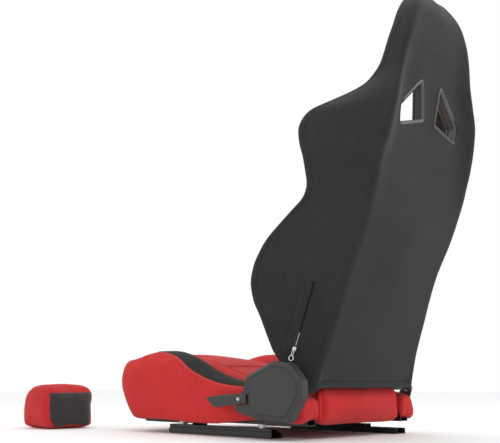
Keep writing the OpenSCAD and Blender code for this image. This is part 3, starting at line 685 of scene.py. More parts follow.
def back_rings():
    """Sections from the lower lip to the top of the headrest."""
    table = columns(BACK_ROWS)
    heights = [124 + 9.0 * i for i in range(96)] + [993, 998, 1001, 1003]
    rings = []
    for shrink, drawn in ((0.16, 124), (0.06, 124), (0.02, 124.5)):
        rings.append(back_ring([f(drawn) for f in table], drawn, shrink))
    for drawn in heights:
        rings.append(back_ring([f(drawn) for f in table], drawn))
    top = [f(1003) for f in table]
    for shrink, drawn in ((0.14, 1004.2), (0.42, 1005), (0.7, 1005)):
        rings.append(back_ring(top, drawn, shrink))
    return rings


# Corners of a harness slot trim in x and z.
SLOT_CORNERS = [(19, 704), (122, 676), (128, 724), (35, 809)]
SLOT_ROUND = 13.0


def slot_outline(grow):
    """Outline of a harness slot trim in (x, z), grown or shrunk, in millimetres."""
    corners = [Vector((x, z + RAISE)) for x, z in SLOT_CORNERS]
    count = len(corners)
    moved, reaches = [], []
    for i, corner in enumerate(corners):
        before = (corner - corners[i - 1]).normalized()
        after = (corners[(i + 1) % count] - corner).normalized()
        half = (math.pi - before.angle(after)) / 2
        out = (before - after).normalized()
        moved.append(corner + out * grow / math.sin(half))
        reaches.append(max(SLOT_ROUND + grow, 2.0) / math.tan(half))
    return rounded_loop(moved, reaches, 8, 8)


def slot_plane(x, z, rear):
    """A point on the face of the harness panel, in metres."""
    low, high = ((675, 477), (798, 494)) if rear else ((690, 456), (798, 474))
    y = low[1] + (z - RAISE - low[0]) * (high[1] - low[1]) / (high[0] - low[0])
    return Vector((x, y, z)) * MM


def build_back_cover():
    """The backrest's cover with its two harness slots cut through."""
    body = finish_mesh(loft(back_rings()), "back_cover",
                       [FINISHES["black_fabric"], FINISHES["red_fabric"]])
    table = columns(BACK_ROWS)
    for polygon in body.data.polygons:
        c = polygon.center / MM
        row = [f(c.z) for f in table]
        facing = abs(c.x) < row[2] - WING_T + 2 and row[3] + 10 < c.y < row[5] + 12
        if facing and RED_ZONE[0] < c.z < RED_ZONE[1] and polygon.normal.y < 0.3:
            polygon.material_index = 1
    subdivide(body, 1, apply=True)
    for side in (LEFT, RIGHT):
        cutter = finish_mesh(extruded([(u * side, v) for u, v in slot_outline(-6.5)],
                                      lambda u, v, w: Vector((u * MM, 0.38 + w, v * MM)), 0.19),
                             "cutter", [FINISHES["black_fabric"]], smooth=False)
        cut = body.modifiers.new("Slot", "BOOLEAN")
        cut.operation = "DIFFERENCE"
        cut.solver = "EXACT"
        cut.object = cutter
        settle(body)
        bpy.data.objects.remove(cutter)
    return dress(body, "backrest", stands_for=(
        "back_core", "left_hip_wing", "right_hip_wing", "left_shoulder_wing",
        "right_shoulder_wing", "harness_panel", "left_slot_side", "right_slot_side", "head_pad"))


RED_ZONE = (176, 648)


def build_front_insert():
    """The padded centre of the backrest's front, with its sewn channels."""
    table = columns(BACK_ROWS)
    rings = []
    levels = [RED_ZONE[0] + 4 + i * 11.5 for i in range(41)]
    for i, z in enumerate(levels):
        row = [f(z) for f in table]
        fade = min(i, len(levels) - 1 - i, 2) / 2
        w, y, t = row[4] - 16 - 6 * (1 - fade), row[5], 10 + 8 * fade
        outline = rounded_loop([(-w, y - t), (w, y - t), (w + 5, y + 9), (-w - 5, y + 9)],
                               [9, 9, 5, 5], 4, 8)
        rings.append([Vector((p.x, p.y, z)) * MM for p in outline])
    obj = finish_mesh(loft(rings), "front_insert", [FINISHES["red_fabric"]])
    puff(obj, 0.006)
    seams = (292, 378, 464, 550)

    def depth(point):
        p = point / MM
        if p.y > columns_cache[5](p.z) + 2:
            return 0.0
        return 4.5 * MM * max(math.exp(-((p.z - s) / 4.0) ** 2) for s in seams)

    columns_cache = table
    press(obj, depth)
    return dress(obj, "backrest")


def surface_line(tree, points, lift=0.0):
    """Points moved onto a surface, and the surface's normals there."""
    places, normals = [], []
    for p in points:
        hit, normal, _, _ = tree.find_nearest(p)
        places.append(hit + normal * lift)
        normals.append(normal)
    return places, normals


def build_back_seams(sewing):
    """Piping, hem and seams of the backrest's cover."""
    body = bpy.data.objects["back_cover"]
    tree = surface(body)
    table = columns(BACK_ROWS)
    black = FINISHES["black_fabric"]
    welts = bmesh.new()
    for side in (LEFT, RIGHT):
        inner, outer = [], []
        for i in range(60):
            z = RED_ZONE[0] + (RED_ZONE[1] - RED_ZONE[0]) * i / 59
            row = [f(z) for f in table]
            inner.append(Vector((side * (row[2] - WING_T + 1), row[3] + 10, z)) * MM)
        for i in range(110):
            z = 205 + (930 - 205) * i / 109
            row = [f(z) for f in table]
            outer.append(Vector((side * (row[2] + 1), row[3] + 15, z)) * MM)
        for line, radius in ((inner, sewing.welt_r), (outer, sewing.welt_r * 0.55)):
            places, normals = surface_line(tree, line)
            merge(welts, tube(places, radius, 8, up=normals))
    for z in RED_ZONE:
        row = [f(z) for f in table]
        half = row[2] - WING_T + 1
        flat = [Vector((row[2] - WING_T + 1, row[3] + 10)), Vector((row[4], row[5])),
                Vector((-row[4], row[5])), Vector((-half, row[3] + 10))]
        line = [Vector((p.x, p.y, z)) * MM for p in rounded(flat, [26, 26], 8, 14)]
        places, normals = surface_line(tree, line)
        merge(welts, tube(places, sewing.welt_r, 8, up=normals))
    piping = dress(finish_mesh(welts, "back_piping", [black]), "backrest")

    half_hem = [(219, 240, 156), (214, 252, 146), (209, 264, 131), (206, 273, 115),
                (201, 280, 107), (192, 286, 109), (180, 290, 116), (160, 291, 119.5),
                (110, 291, 119.5), (50, 291.5, 119), (0, 291.5, 118.5)]
    points = [Vector(p) for p in half_hem] + [Vector((-x, y, z)) for x, y, z in half_hem[-2::-1]]
    line = [p * MM for p in along(rounded_path(points, 8), 4.0)]
    bm = tube(line, 0.0068, 12, flat=0.42, up=[hem_out(p) for p in line])
    hem = finish_mesh(bm, "back_hem", [black])
    subdivide(hem)
    dress(hem, "backrest")
    rear_row = [Vector((x, 300, z)) * MM for z in (131.0,) for x in range(-176, 177, 3)]
    places, normals = surface_line(tree, rear_row, 0.0002)
    stitched = stitches("hem_stitches", [places], [normals], FINISHES["black_thread"], sewing)
    dress(stitched, "backrest")
    return piping


def hem_out(point):
    """Direction that the hem's flat side faces."""
    return Vector((point.x * 0.55, 0.11, 0.0)).normalized()


def rounded_path(points, steps):
    """A smooth path through the points."""
    out = []
    count = len(points)
    for i in range(count - 1):
        a, b = points[max(i - 1, 0)], points[i]
        c, d = points[i + 1], points[min(i + 2, count - 1)]
        for k in range(steps):
            t = k / steps
            out.append(0.5 * ((2 * b) + (c - a) * t + (2 * a - 5 * b + 4 * c - d) * t * t
                              + (3 * b - a - 3 * c + d) * t ** 3))
    return out + [points[-1].copy()]


def build_slot_trims():
    """The rounded bezels of the harness slots and the linings between them."""
    for side, hand in ((LEFT, "left"), (RIGHT, "right")):
        for rear, end in ((True, "rear"), (False, "front")):
            out = 1 if rear else -1
            tall = 1.0 if rear else 0.5
            profile = [(0.0, -0.5), (0.2, 2.4), (1.6, 4.2), (4.3, 4.6), (6.6, 3.4), (8.2, 1.6),
                       (9.4, 1.4), (10.2, -1.0), (10.0, -9.0), (8.6, -9.0), (1.5, -3.0)]
            rings = []
            for inward, height in profile:
                outline = slot_outline(-inward)
                ring = [slot_plane(side * p.x, p.y, rear) + Vector((0, out * height * tall * MM, 0))
                        for p in outline]
                rings.append(ring)
            bm = loft(rings + [rings[0]], closed_ends=False)
            bmesh.ops.remove_doubles(bm, verts=bm.verts, dist=1e-6)
            bmesh.ops.recalc_face_normals(bm, faces=bm.faces)
            obj = subdivide(finish_mesh(bm, f"{hand}_{end}_bezel", [FINISHES["trim_plastic"]]))
            dress(obj, "backrest", stands_for=(f"{hand}_{end}_trim",))
        sleeve = []
        for inward, rear in ((7.0, True), (8.6, True), (8.6, False), (7.0, False)):
            sleeve.append([slot_plane(side * p.x, p.y, rear) for p in slot_outline(-inward)])
        bm = loft(sleeve + [sleeve[0]], closed_ends=False)
        bmesh.ops.remove_doubles(bm, verts=bm.verts, dist=1e-6)
        bmesh.ops.recalc_face_normals(bm, faces=bm.faces)
        lining = finish_mesh(bm, f"{hand}_slot_lining", [FINISHES["trim_plastic"]])
        dress(lining, "backrest")


# Lower and upper end of the zip's track.
ZIP_LOW, ZIP_HIGH = Vector((213, 252, 200)), Vector((200.5, 300, 346))
# How far the whole zip sits behind the frame's track, parallel to it.
ZIP_BACK = 6.0


def zip_frame(tree, share, across=0.0, lift=0.0):
    """A point beside the zip's track, on the cover's surface, with the normal there."""
    spot = ZIP_LOW.lerp(ZIP_HIGH, share)
    across += ZIP_BACK
    back = Vector((-0.32, 0.89, -0.32))
    hit, normal, _, _ = tree.find_nearest((spot + back * across + Vector((4, -1, 0))) * MM)
    return hit + normal * lift * MM, normal


def build_zip(sewing):
    """The zip's placket, its slit with teeth, bar tack, slider and pull, and a near-black strip of
    painted shadow along the placket's outer edge.
    """
    tree = surface(bpy.data.objects["back_cover"])
    black, bright = FINISHES["black_fabric"], FINISHES["bright_metal"]
    shares = [-0.10 + 1.12 * i / 44 for i in range(45)]
    width = 20.0

    def bend(share):
        """How far the placket's front edge curves forwards at its lower end, in millimetres."""
        return -9 * (1 - ease(-0.12, 0.3, share))

    rings = []
    for share in shares:
        low_end = 0.35 + 0.65 * ease(-0.10, -0.04, share)
        high_end = 0.35 + 0.65 * ease(1.02, 0.98, share)
        tall = 4.4 * min(low_end, high_end)
        ring = []
        for across, lift in ((0, -1.2), (0.3, 0.6), (1.8, 1.0), (width / 2, 1.1),
                             (width - 2.4, 1.0), (width - 0.4, 0.6), (width, -1.2)):
            reach = across / width
            p, _ = zip_frame(tree, share - 0.03 * reach, bend(share) * reach - 3.0 - across,
                             lift * tall)
            ring.append(p)
        rings.append(ring)
    placket = subdivide(finish_mesh(loft(rings), "zip_placket", [black]))
    dress(placket, "backrest", stands_for=("zip_track",))

    # Tape in the slit, in the near-black finish that also paints the shade inside the slit.
    slit = []
    for share in shares[3:-1]:
        slit.append([zip_frame(tree, share, across, lift)[0]
                     for across, lift in ((-3.2, -0.8), (-3.0, 0.35), (-1.0, 0.45), (1.4, 0.35),
                                          (1.8, -0.8))])
    dress(finish_mesh(loft(slit), "zip_tape", [FINISHES["dark_tape_and_painted_shade"]]), "backrest")
    # A near-black strip along the placket's outer edge, standing for the placket's soft shadow on
    # the cover: painted shadow.
    edge_shadow = []
    for share in shares[1:-2]:
        edge_shadow.append([zip_frame(tree, share, bend(share) - 3.0 - width + across, lift)[0]
                     for across, lift in ((-3.0, -0.8), (-2.4, 0.3), (0.0, 0.5), (1.5, 0.3),
                                          (2.0, -0.8))])
    dress(finish_mesh(loft(edge_shadow), "zip_edge_shadow", [FINISHES["dark_tape_and_painted_shade"]]), "backrest")

    teeth = bmesh.new()
    count = 16
    for i in range(count):
        share = 0.05 + 0.19 * i / count
        lift = 0.5
        p, normal = zip_frame(tree, share, -1.0 + (0.55 if i % 2 else -0.55), lift)
        ahead = (zip_frame(tree, share + 0.02, -1.0, lift)[0] - p).normalized()
        side = ahead.cross(normal).normalized()
        turn = Matrix((side, ahead, side.cross(ahead))).transposed().to_4x4()
        bmesh.ops.create_cube(teeth, size=1.0, matrix=Matrix.Translation(p) @ turn
                              @ Matrix.Diagonal((0.0020, 0.0011, 0.0009, 1.0)))
    tooth_piece = finish_mesh(teeth, "zip_teeth", [FINISHES["zip_teeth"]], smooth=False)
    dress(tooth_piece, "backrest")

    rows, lifts = [], []
    for share in (1.0, 1.028):
        line = [zip_frame(tree, share, 2.0 - 26 * k / 12, 3.0) for k in range(13)]
        rows.append([p for p, _ in line])
        lifts.append([n for _, n in line])
    for across in (-4.5, -3.2 - width + 1.8):
        line = [zip_frame(tree, s, bend(s) * (3.0 + across) / -width + across, 4.6)
                for s in shares[2:-2]]
        rows.append([p for p, _ in line])
        lifts.append([n for _, n in line])
    tack = stitches("zip_stitches", rows, lifts, FINISHES["black_thread"], sewing)
    dress(tack, "backrest")

    foot, normal = zip_frame(tree, -0.035, -1.0, 1.6)
    ahead = (ZIP_HIGH - ZIP_LOW).normalized()
    side = ahead.cross(normal).normalized()
    out = side.cross(ahead).normalized()
    pose = Matrix.Translation(foot) @ Matrix((side, ahead, out)).transposed().to_4x4()
    slider = bmesh.new()
    for width_mm, long_mm, z in ((7.0, 9.5, 0.6), (7.6, 8.0, 2.6)):
        made = bmesh.ops.create_cube(slider, size=1.0, matrix=Matrix.Translation((0, 0.004, z * MM))
                                     @ Matrix.Diagonal((width_mm * MM, long_mm * MM, 0.0012, 1)))
        corners = [e for e in {e for v in made["verts"] for e in v.link_edges}]
        bmesh.ops.bevel(slider, geom=corners, offset=0.00045, offset_type="OFFSET",
                        affect="EDGES", segments=2, profile=0.5, material=-1)
    merge(slider, tube([Vector(p) * MM for p in ((0, 0.5, 3), (0, 1.5, 4.6), (0, 4, 5.2),
                                                 (0, 6.5, 4.6), (0, 7.5, 3))], 0.0008, 8))
    bmesh.ops.transform(slider, matrix=pose, verts=slider.verts)
    piece = finish_mesh(slider, "zip_slider_body", [bright])
    dress(piece, "zip_slider", stands_for=("zip_slider",))

    pull = bmesh.new()
    ring = [Vector((5.2 * math.cos(a), -17.0 + 5.6 * math.sin(a), 5.6)) * MM
            for a in (2 * math.pi * k / 28 for k in range(28))]
    merge(pull, tube(ring, 0.0013, 8, closed=True, up=[Vector((0, 0, 1))] * len(ring)))
    link = [Vector((2.1 * math.cos(a), -5.0 + 7.2 * math.sin(a), 5.8)) * MM
            for a in (2 * math.pi * k / 24 for k in range(24))]
    merge(pull, tube(link, 0.0009, 8, closed=True, up=[Vector((0, 0, 1))] * len(link)))
    bmesh.ops.transform(pull, matrix=pose, verts=pull.verts)
    piece = finish_mesh(pull, "zip_pull_ring", [bright])
    dress(piece, "zip_pull", stands_for=("zip_pull",))


# ------------------------------------------------------------------ base cushions

# Places along the seat, then the height of the underside, the ridge and the outer shoulder, the
# height of the inner foot, and how far the side is set in.
BOLSTER_ROWS = [
    (-357, 128, 158, 150, 134, 28), (-353, 119, 170, 158, 126, 21), (-344, 104, 181, 168, 116, 12),
    (-330, 84, 189, 175, 100, 7), (-312, 58, 194, 179, 86, 4), (-292, 36, 198, 182, 78, 2),
    (-282, 30, 200, 184, 78, 1), (-262, 28, 205, 188, 78, 0), (-235, 28, 211, 194, 78, 0),
    (-203, 28, 215, 197, 78, 0),
    (-150, 27, 215, 195, 78, 0), (-120, 25, 212, 191, 78, 0), (-95, 24, 206, 184, 78, 0),
    (-68, 23, 197, 173, 78, 0), (-40, 23, 185, 160, 78, 0), (0, 23, 166, 144, 76, 0),
    (40, 25, 151, 133, 74, 0), (80, 29, 141, 127, 72, 0), (125, 34, 133, 123, 70, 0),
    (165, 36, 125, 117, 66, 0), (215, 34, 112, 105, 60, 0), (250, 32, 102, 97, 55, 2),
    (266, 32, 97, 91, 50, 5), (271, 33, 95, 88, 36, 8), (280, 40, 88, 80, 40, 15)]


def bolster_ring(y, row):
    """Section of the left bolster at a place along the seat, in metres."""
    low, ridge, shoulder, foot, inset = row
    outer = HALF_W - 4 - inset
    inner = CENTRE_HALF + 3
    upright = ease(222, 262, y)
    points = [(inner, foot), (inner + 16 - 15 * upright, ridge - 22 + 16 * upright),
              (outer - 34, ridge - 3),
              (outer - 10, min(shoulder + 6, ridge - 4)), (outer, shoulder - 26), (outer, low + 6),
              (outer - 8, low), (outer - 26, low + 3), (outer - 40, max(low + 8, foot - 12))]
    reach = [12, 20, 26, 22, 30, 8, 8, 10, 14]
    return [Vector((p.x, y, p.y)) * MM for p in rounded_loop(points, reach, 4, 5)]


def build_bolsters():
    """The two side bolsters of the base: one is simulated and the other mirrors it."""
    table = columns([tuple(row) for row in BOLSTER_ROWS])
    places = [-357, -355, -350, -343] + [-335 + 10 * i for i in range(60)] + [262, 267, 271,
                                                                              276, 280]
    rings = [bolster_ring(y, [f(y) for f in table]) for y in places]
    obj = finish_mesh(loft(rings), "left_bolster_cover", [FINISHES["red_fabric"]])
    puff(obj, 0.005)
    twin = mirrored(obj, "right_bolster_cover")
    for piece, node in ((obj, "left_bolster"), (twin, "right_bolster")):
        dress(piece, "seat_base", stands_for=(node,))


# The red and black seam on a bolster's outer side, then the band's inner edge: y, x and z.
BAND_OUTER = [(-214, 209, 219), (-185, 216, 216), (-150, 226, 207), (-117, 231, 198),
              (-95, 234, 185), (-75, 236, 169), (-48, 237, 155), (-21, 237, 145), (0, 237, 138),
              (25, 237, 132), (50, 236, 128), (75, 236, 126), (100, 236, 125), (125, 236, 123),
              (160, 235, 116), (200, 234, 105)]
BAND_INNER = [(-214, 207, 219), (-185, 203, 219), (-150, 198, 217), (-117, 195, 213),
              (-95, 193, 208), (-75, 192, 200), (-48, 191, 189), (-21, 190, 176), (0, 190, 166),
              (25, 190, 156), (50, 190, 149), (75, 190, 143), (100, 190, 138), (125, 190, 134),
              (160, 190, 127), (200, 190, 117)]


def build_bolster_bands(sewing):
    """Black bands along the tops of the bolsters, with their double top stitching."""
    tree = surface(bpy.data.objects["left_bolster_cover"])
    outer, inner = columns(BAND_OUTER), columns(BAND_INNER)
    rows, count, across = [], 90, 12
    for i in range(count + 1):
        y = BAND_OUTER[0][0] + (BAND_OUTER[-1][0] - BAND_OUTER[0][0]) * i / count
        a = Vector((outer[0](y), y, outer[1](y)))
        b = Vector((inner[0](y), y, inner[1](y)))
        crown = Vector((14, 0, 16)) * min(1.0, (a - b).length / 30)
        line = [a * (1 - t) ** 2 + (a + (b - a) * 0.5 + crown) * (2 * t * (1 - t)) + b * t * t
                for t in (k / across for k in range(across + 1))]
        rows.append([tree.find_nearest(p * MM)[:2] for p in line])
    top = [[p + n * 0.0011 for p, n in row] for row in rows]
    under = [[p - n * 0.0012 for p, n in row] for row in rows]
    rings = [up + low[::-1] for up, low in zip(top, under)]
    band = subdivide(finish_mesh(loft(rings), "left_bolster_band", [FINISHES["black_fabric"]]))
    settle(band)
    twin = mirrored(band, "right_bolster_band")
    for piece in (band, twin):
        dress(piece, "seat_base")
    lines, normals = [], []
    for drop in (2.2, 5.4):
        line = []
        for y in range(-200, 200, 3):
            p = Vector((outer[0](y), y, outer[1](y)))
            ahead = Vector((outer[0](y + 3), y + 3, outer[1](y + 3))) - p
            _, normal, _, _ = tree.find_nearest(p * MM)
            down = ahead.cross(normal).normalized()
            if down.z > 0:
                down = -down
            line.append((p + down * drop) * MM)
        places, lifts = surface_line(tree, line, 0.0002)
        lines.append(places)
        normals.append(lifts)
    threads = stitches("left_band_stitches", lines, normals, FINISHES["thread"], sewing)
    twin = mirrored(threads, "right_band_stitches")
    for piece in (threads, twin):
        dress(piece, "seat_base")


# Places along the seat, then the heights of the centre cushion's underside and top, its crown.
CENTRE_ROWS = [
    (-346, 112, 140, 0), (-342, 92, 160, 2), (-334, 74, 174, 4), (-318, 62, 188, 5),
    (-290, 60, 192, 6), (-245, 60, 189, 9), (-200, 60, 185, 8), (-150, 60, 179, 6),
    (-100, 60, 170, 3), (-40, 60, 152, 0), (20, 60, 134, -1), (80, 60, 119, -1),
    (140, 60, 108, 0), (200, 58, 103, 0), (236, 50, 105, 0), (256, 38, 109, 0),
    (268, 33, 112, 0), (275, 34, 112, 0), (279, 39, 109, 0)]


def build_centre_cushion():
    """The centre cushion with its sewn channels and the panel that closes the rear."""
    table = columns(CENTRE_ROWS)
    places = [-346, -344, -340] + [-334 + 9.2 * i for i in range(66)] + [270, 274, 277, 279]
    rings = []
    for y in places:
        low, top, crown = (f(y) for f in table)
        w = CENTRE_HALF - 2 - 2 * ease(274, 280, y) - 8 * ease(-332, -346, y)
        points = [(-w, low + 3), (-w, top - 9), (-w + 14, top - 3), (0, top + crown),
                  (w - 14, top - 3), (w, top - 9), (w, low + 3), (w - 14, low), (14 - w, low)]
        outline = rounded_loop(points, [8, 8, 12, 60, 12, 8, 8, 6, 6], 4, 8)
        rings.append([Vector((p.x, y, p.y)) * MM for p in outline])
    obj = finish_mesh(loft(rings), "centre_cushion_cover", [FINISHES["red_fabric"]])
    puff(obj, 0.0055)

    def depth(point):
        p = point / MM
        if p.y > 262:
            return 3.0 * MM * math.exp(-((abs(p.x) - 146) / 3.5) ** 2) * ease(262, 270, p.y)
        if p.z < 90:
            return 0.0
        side = math.exp(-((abs(p.x) - 96) / 3.6) ** 2)
        cross = max(math.exp(-((p.y - s) / 4.0) ** 2) for s in (-205, -70, 60))
        return 4.5 * MM * max(side, cross if abs(p.x) < 96 else 0.0)

    press(obj, depth)
    return dress(obj, "seat_base", stands_for=("centre_cushion",))


# ------------------------------------------------------------------ covers and lever

# Outlines in y and z of the recliner's cover, its foot and the lever's handle.
COVER_SIDE = [(229, 171), (276, 165), (309, 129), (309, 94), (272, 40), (174, 45), (157, 62),
              (155, 98), (134, 98), (151, 139)]
COVER_FOOT = [(178, 45), (178, 74), (150, 78), (118, 76), (108, 66), (124, 57)]
HANDLE = [(22, 88), (34, 93), (90, 98), (146, 101), (149, 97), (149, 80), (140, 77), (134, 80),
          (127, 76), (121, 79), (113, 74), (107, 77), (99, 72), (90, 75), (80, 71), (53, 69),
          (44, 71)]


def plate(outline, x0, x1, side, bevel, segments=3):
    """A plate across X between two places, with rounded edges."""
    return extruded([(u, v) for u, v in outline],
                    lambda u, v, w: Vector((side * (x0 * MM + w), u * MM, v * MM)),
                    (x1 - x0) * MM, bevel * MM, segments)


def build_side_cover():
    """The moulded cover of the recliner: a chamfered wall and a raised face."""
    x0, x1 = COVER_LOW.x, COVER_HIGH.x
    bm = bmesh.new()
    shell = bm.faces.new([bm.verts.new(Vector((x0, y, z)) * MM) for y, z in COVER_SIDE])
    for depth, inset in ((x1 - x0 - 6, 0.0), (4.5, 6.5), (0.0, 3.2), (-0.8, 0.5), (0.0, 1.6),
                         (1.6, 0.8)):
        if inset:
            bmesh.ops.inset_region(bm, faces=[shell], thickness=inset * MM, depth=0.0,
                                   use_even_offset=True, use_boundary=True)
        else:
            made = bmesh.ops.extrude_face_region(bm, geom=[shell])["geom"]
            shell = next(g for g in made if isinstance(g, bmesh.types.BMFace))
        bmesh.ops.translate(bm, vec=(depth * MM, 0, 0), verts=shell.verts)
    bmesh.ops.recalc_face_normals(bm, faces=bm.faces)
    sharp = [e for e in bm.edges if len(e.link_faces) == 2 and e.calc_face_angle(0) > 0.35]
    bmesh.ops.bevel(bm, geom=sharp, offset=0.0006, offset_type="OFFSET", affect="EDGES",
                    segments=2, profile=0.5, material=-1, clamp_overlap=True)
    merge(bm, plate(COVER_FOOT, x0 + 7, x1 - 9, LEFT, 1.5))
    obj = finish_mesh(bm, "recliner_cover", [FINISHES["cover_plastic"]], smooth=False)
    dress(obj, "seat_base", stands_for=("left_side_cover",))


def build_lever():
    """The recline lever's grip, with its scalloped lower edge, and the head of its screw."""
    low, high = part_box("lever_handle")
    x0, x1 = low.x / MM, high.x / MM
    bm = plate(HANDLE, x0, x1 - 0.6, LEFT, 1.1)
    grip = [(40, 84), (52, 76), (84, 78), (112, 82), (112, 91), (60, 89)]
    merge(bm, plate(grip, x1 - 1.2, x1, LEFT, 0.5, 2))
    handle = finish_mesh(bm, "lever_grip", [FINISHES["lever_plastic"]])
    dress(handle, "recline_lever", stands_for=("lever_handle",))
    screw = bmesh.new()
    place = (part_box("lever_screw")[0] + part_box("lever_screw")[1]) / 2
    turn = Matrix.Translation((high.x + 0.0006, place.y, place.z)) @ Matrix.Rotation(
        math.pi / 2, 4, "Y")
    bmesh.ops.create_cone(screw, cap_ends=True, segments=24, radius1=0.0045, radius2=0.0034,
                          depth=0.0022, matrix=turn)
    bmesh.ops.create_cone(screw, cap_ends=True, segments=6, radius1=0.0018, radius2=0.0018,
                          depth=0.0028, matrix=turn)
    head = finish_mesh(screw, "lever_screw_head", [FINISHES["zinc_steel"]], smooth=False)
    dress(head, "recline_lever", stands_for=("lever_screw",))


# ------------------------------------------------------------------ support pad

# The pad's side outline in y behind its front, and z.
PAD_SIDE = [(142, 5), (144, 96), (136, 112), (112, 119), (70, 121), (38, 117), (14, 100), (4, 70),
            (2, 34), (8, 6)]


def build_support_pad():
    """The loose support pad with its hook panel."""
    x0, x1, y0 = PAD_LOW.x, PAD_HIGH.x, PAD_LOW.y
    z_scale = PAD_HIGH.z / 121.0
    rings = []
    count = 20
    for i in range(count + 1):
        t = i / count
        edge = min(t, 1 - t) * (x1 - x0)
        inset = 10 * (1 - ease(0, 20, edge)) ** 1.5 + 2
        x = x0 + 4 + t * (x1 - x0 - 8)
        middle = (PAD_LOW + PAD_HIGH) / 2
        ring = []
        for p in rounded_loop(PAD_SIDE, [8, 12, 14, 20, 24, 22, 22, 20, 14, 8], 4, 6):
            q = Vector((p.x + y0 + 1, p.y * z_scale))
            q = Vector((middle.y + (q.x - middle.y) * (1 - inset / 80),
                        4 + (q.y - 4) * (1 - inset / 110)))
            ring.append(Vector((x, q.x, q.y)) * MM)
        rings.append(ring)
    obj = finish_mesh(loft(rings), "pad_cover", [FINISHES["red_fabric"]])
    puff(obj, 0.0045)
    for vertex in obj.data.vertices:
        if vertex.co.z < 0.0012:
            vertex.co.z = 0.0012
    dress(obj, "support_pad", stands_for=("support_pad",))
    low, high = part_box("hook_panel")
    cx = (low.x + high.x) / 2 / MM
    half = (high.x - low.x) / 2 / MM
    outline = [(cx - half + 12, 8), (cx + half - 17, 7), (cx + half - 5, 26), (cx + half - 1, 97),
               (cx - half + 2, 98)]
    tree = surface(obj)
    y = (low.y + high.y) / 2
    bm = bmesh.new()
    bm.faces.new([bm.verts.new(Vector((x * MM, y, z * MM))) for x, z in outline])
    bmesh.ops.triangulate(bm, faces=bm.faces)
    bmesh.ops.subdivide_edges(bm, edges=bm.edges, cuts=15, use_grid_fill=True)
    for vertex in bm.verts:
        hit, _, _, _ = tree.ray_cast(vertex.co + Vector((0, 0.05, 0)), Vector((0, -1, 0)))
        if hit is not None:
            vertex.co.y = hit.y + 0.0012
    made = bmesh.ops.extrude_face_region(bm, geom=list(bm.faces))["geom"]
    bmesh.ops.translate(bm, vec=(0, -0.0024, 0),
                        verts=[g for g in made if isinstance(g, bmesh.types.BMVert)])
    bmesh.ops.recalc_face_normals(bm, faces=bm.faces)
    panel = finish_mesh(bm, "pad_hook_panel", [FINISHES["hook_fabric"]])
    dress(panel, "support_pad", stands_for=("hook_panel",))
    return obj


# ------------------------------------------------------------------ frame finishes and studio


def finish_frame():
    """Gives every node of the frame that still shows its finish."""
    slots = {part["node"]: part["material_slot"] for part in frame["record"]["subparts"]}
    for name, slot in slots.items():
        obj = bpy.data.objects.get(name)
        if obj is None:
            continue
        obj.data.materials.clear()
        obj.data.materials.append(FINISHES[slot])


def lamp(name, place, target, power, size, shade):
    """A square soft light that points at a place."""
    data = bpy.data.lights.new(name, "AREA")
    data.energy = power
    data.size = size
    data.color = shade
    obj = bpy.data.objects.new(name, data)
    obj.location = place
    obj.rotation_euler = (Vector(target) - Vector(place)).to_track_quat("-Z", "Y").to_euler()
    bpy.context.scene.collection.objects.link(obj)
    return obj


def build_studio(studio):
    """Floor, background, lights and camera."""
    scene = bpy.context.scene
    bm = bmesh.new()
    bmesh.ops.create_grid(bm, x_segments=1, y_segments=1, size=9.0)
    plain = Nodes("Backdrop")
    plain.shade(Base_Color=rgba(studio.backdrop), Roughness=0.7, Specular_IOR_Level=0.2)
    floor = finish_mesh(bm, "floor", [plain.material], smooth=False)
    floor.location.z = FLOOR_DROP
    world = bpy.data.worlds.new("Studio")
    world.use_nodes = True
    background = next(n for n in world.node_tree.nodes if n.type == "BACKGROUND")
    background.inputs["Color"].default_value = (1.0, 1.0, 1.0, 1.0)
    background.inputs["Strength"].default_value = 1.0
    scene.world = world
    scene.view_settings.view_transform = "Standard"
    aim = (0.0, 0.1, 0.5)
    lights = [lamp("Key light", (-1.6, 2.4, 2.3), aim, studio.key, 1.3, (1.0, 0.99, 0.97)),
              lamp("Fill light", (2.9, -0.2, 1.3), aim, studio.fill, 1.8, (0.97, 0.98, 1.0)),
              lamp("Top light", (0.2, 0.3, 2.9), aim, studio.key * 0.5, 1.6, (1.0, 1.0, 1.0))]
    camera = bpy.data.cameras.new("Camera")
    camera.lens = studio.lens
    camera.sensor_width = 36.0
    camera.shift_x, camera.shift_y = CAMERA_SHIFT
    view = bpy.data.objects.new("Camera", camera)
    view.location = CAMERA_PLACE
    turn = Matrix.Rotation(studio.heading, 4, "Z") @ Matrix.Rotation(
        math.radians(90) + studio.rise, 4, "X")
    view.rotation_euler = turn.to_euler()
    scene.collection.objects.link(view)
    scene.camera = view


FLOOR_DROP = 0.0
CAMERA_PLACE = (1.6312, 1.4354, 0.124)
CAMERA_SHIFT = (0.08, 0.027)


# ------------------------------------------------------------------ operators and panel


class SEAT_OT_back_cover(bpy.types.Operator):
    """Build the backrest's cover with its harness slots"""
    bl_idname = "seat.back_cover"
    bl_label = "Backrest cover"

    def execute(self, context):
        build_back_cover()
        return {"FINISHED"}


class SEAT_OT_front_insert(bpy.types.Operator):
    """Build the padded centre of the backrest's front"""
    bl_idname = "seat.front_insert"
    bl_label = "Backrest front"

    def execute(self, context):
        build_front_insert()
        return {"FINISHED"}


class SEAT_OT_back_seams(bpy.types.Operator):
    """Build the piping, the hem and the hem's stitches"""
    bl_idname = "seat.back_seams"
    bl_label = "Piping and hem"

    def execute(self, context):
        build_back_seams(context.scene.seat_sewing)
        return {"FINISHED"}


class SEAT_OT_slot_trims(bpy.types.Operator):
    """Build the bezels of the harness slots"""
    bl_idname = "seat.slot_trims"
    bl_label = "Harness slot trims"

    def execute(self, context):
        build_slot_trims()
        return {"FINISHED"}


class SEAT_OT_zip(bpy.types.Operator):
    """Build the zip, its placket, slider and pull"""
    bl_idname = "seat.zip"
    bl_label = "Zip"

    def execute(self, context):
        build_zip(context.scene.seat_sewing)
        return {"FINISHED"}


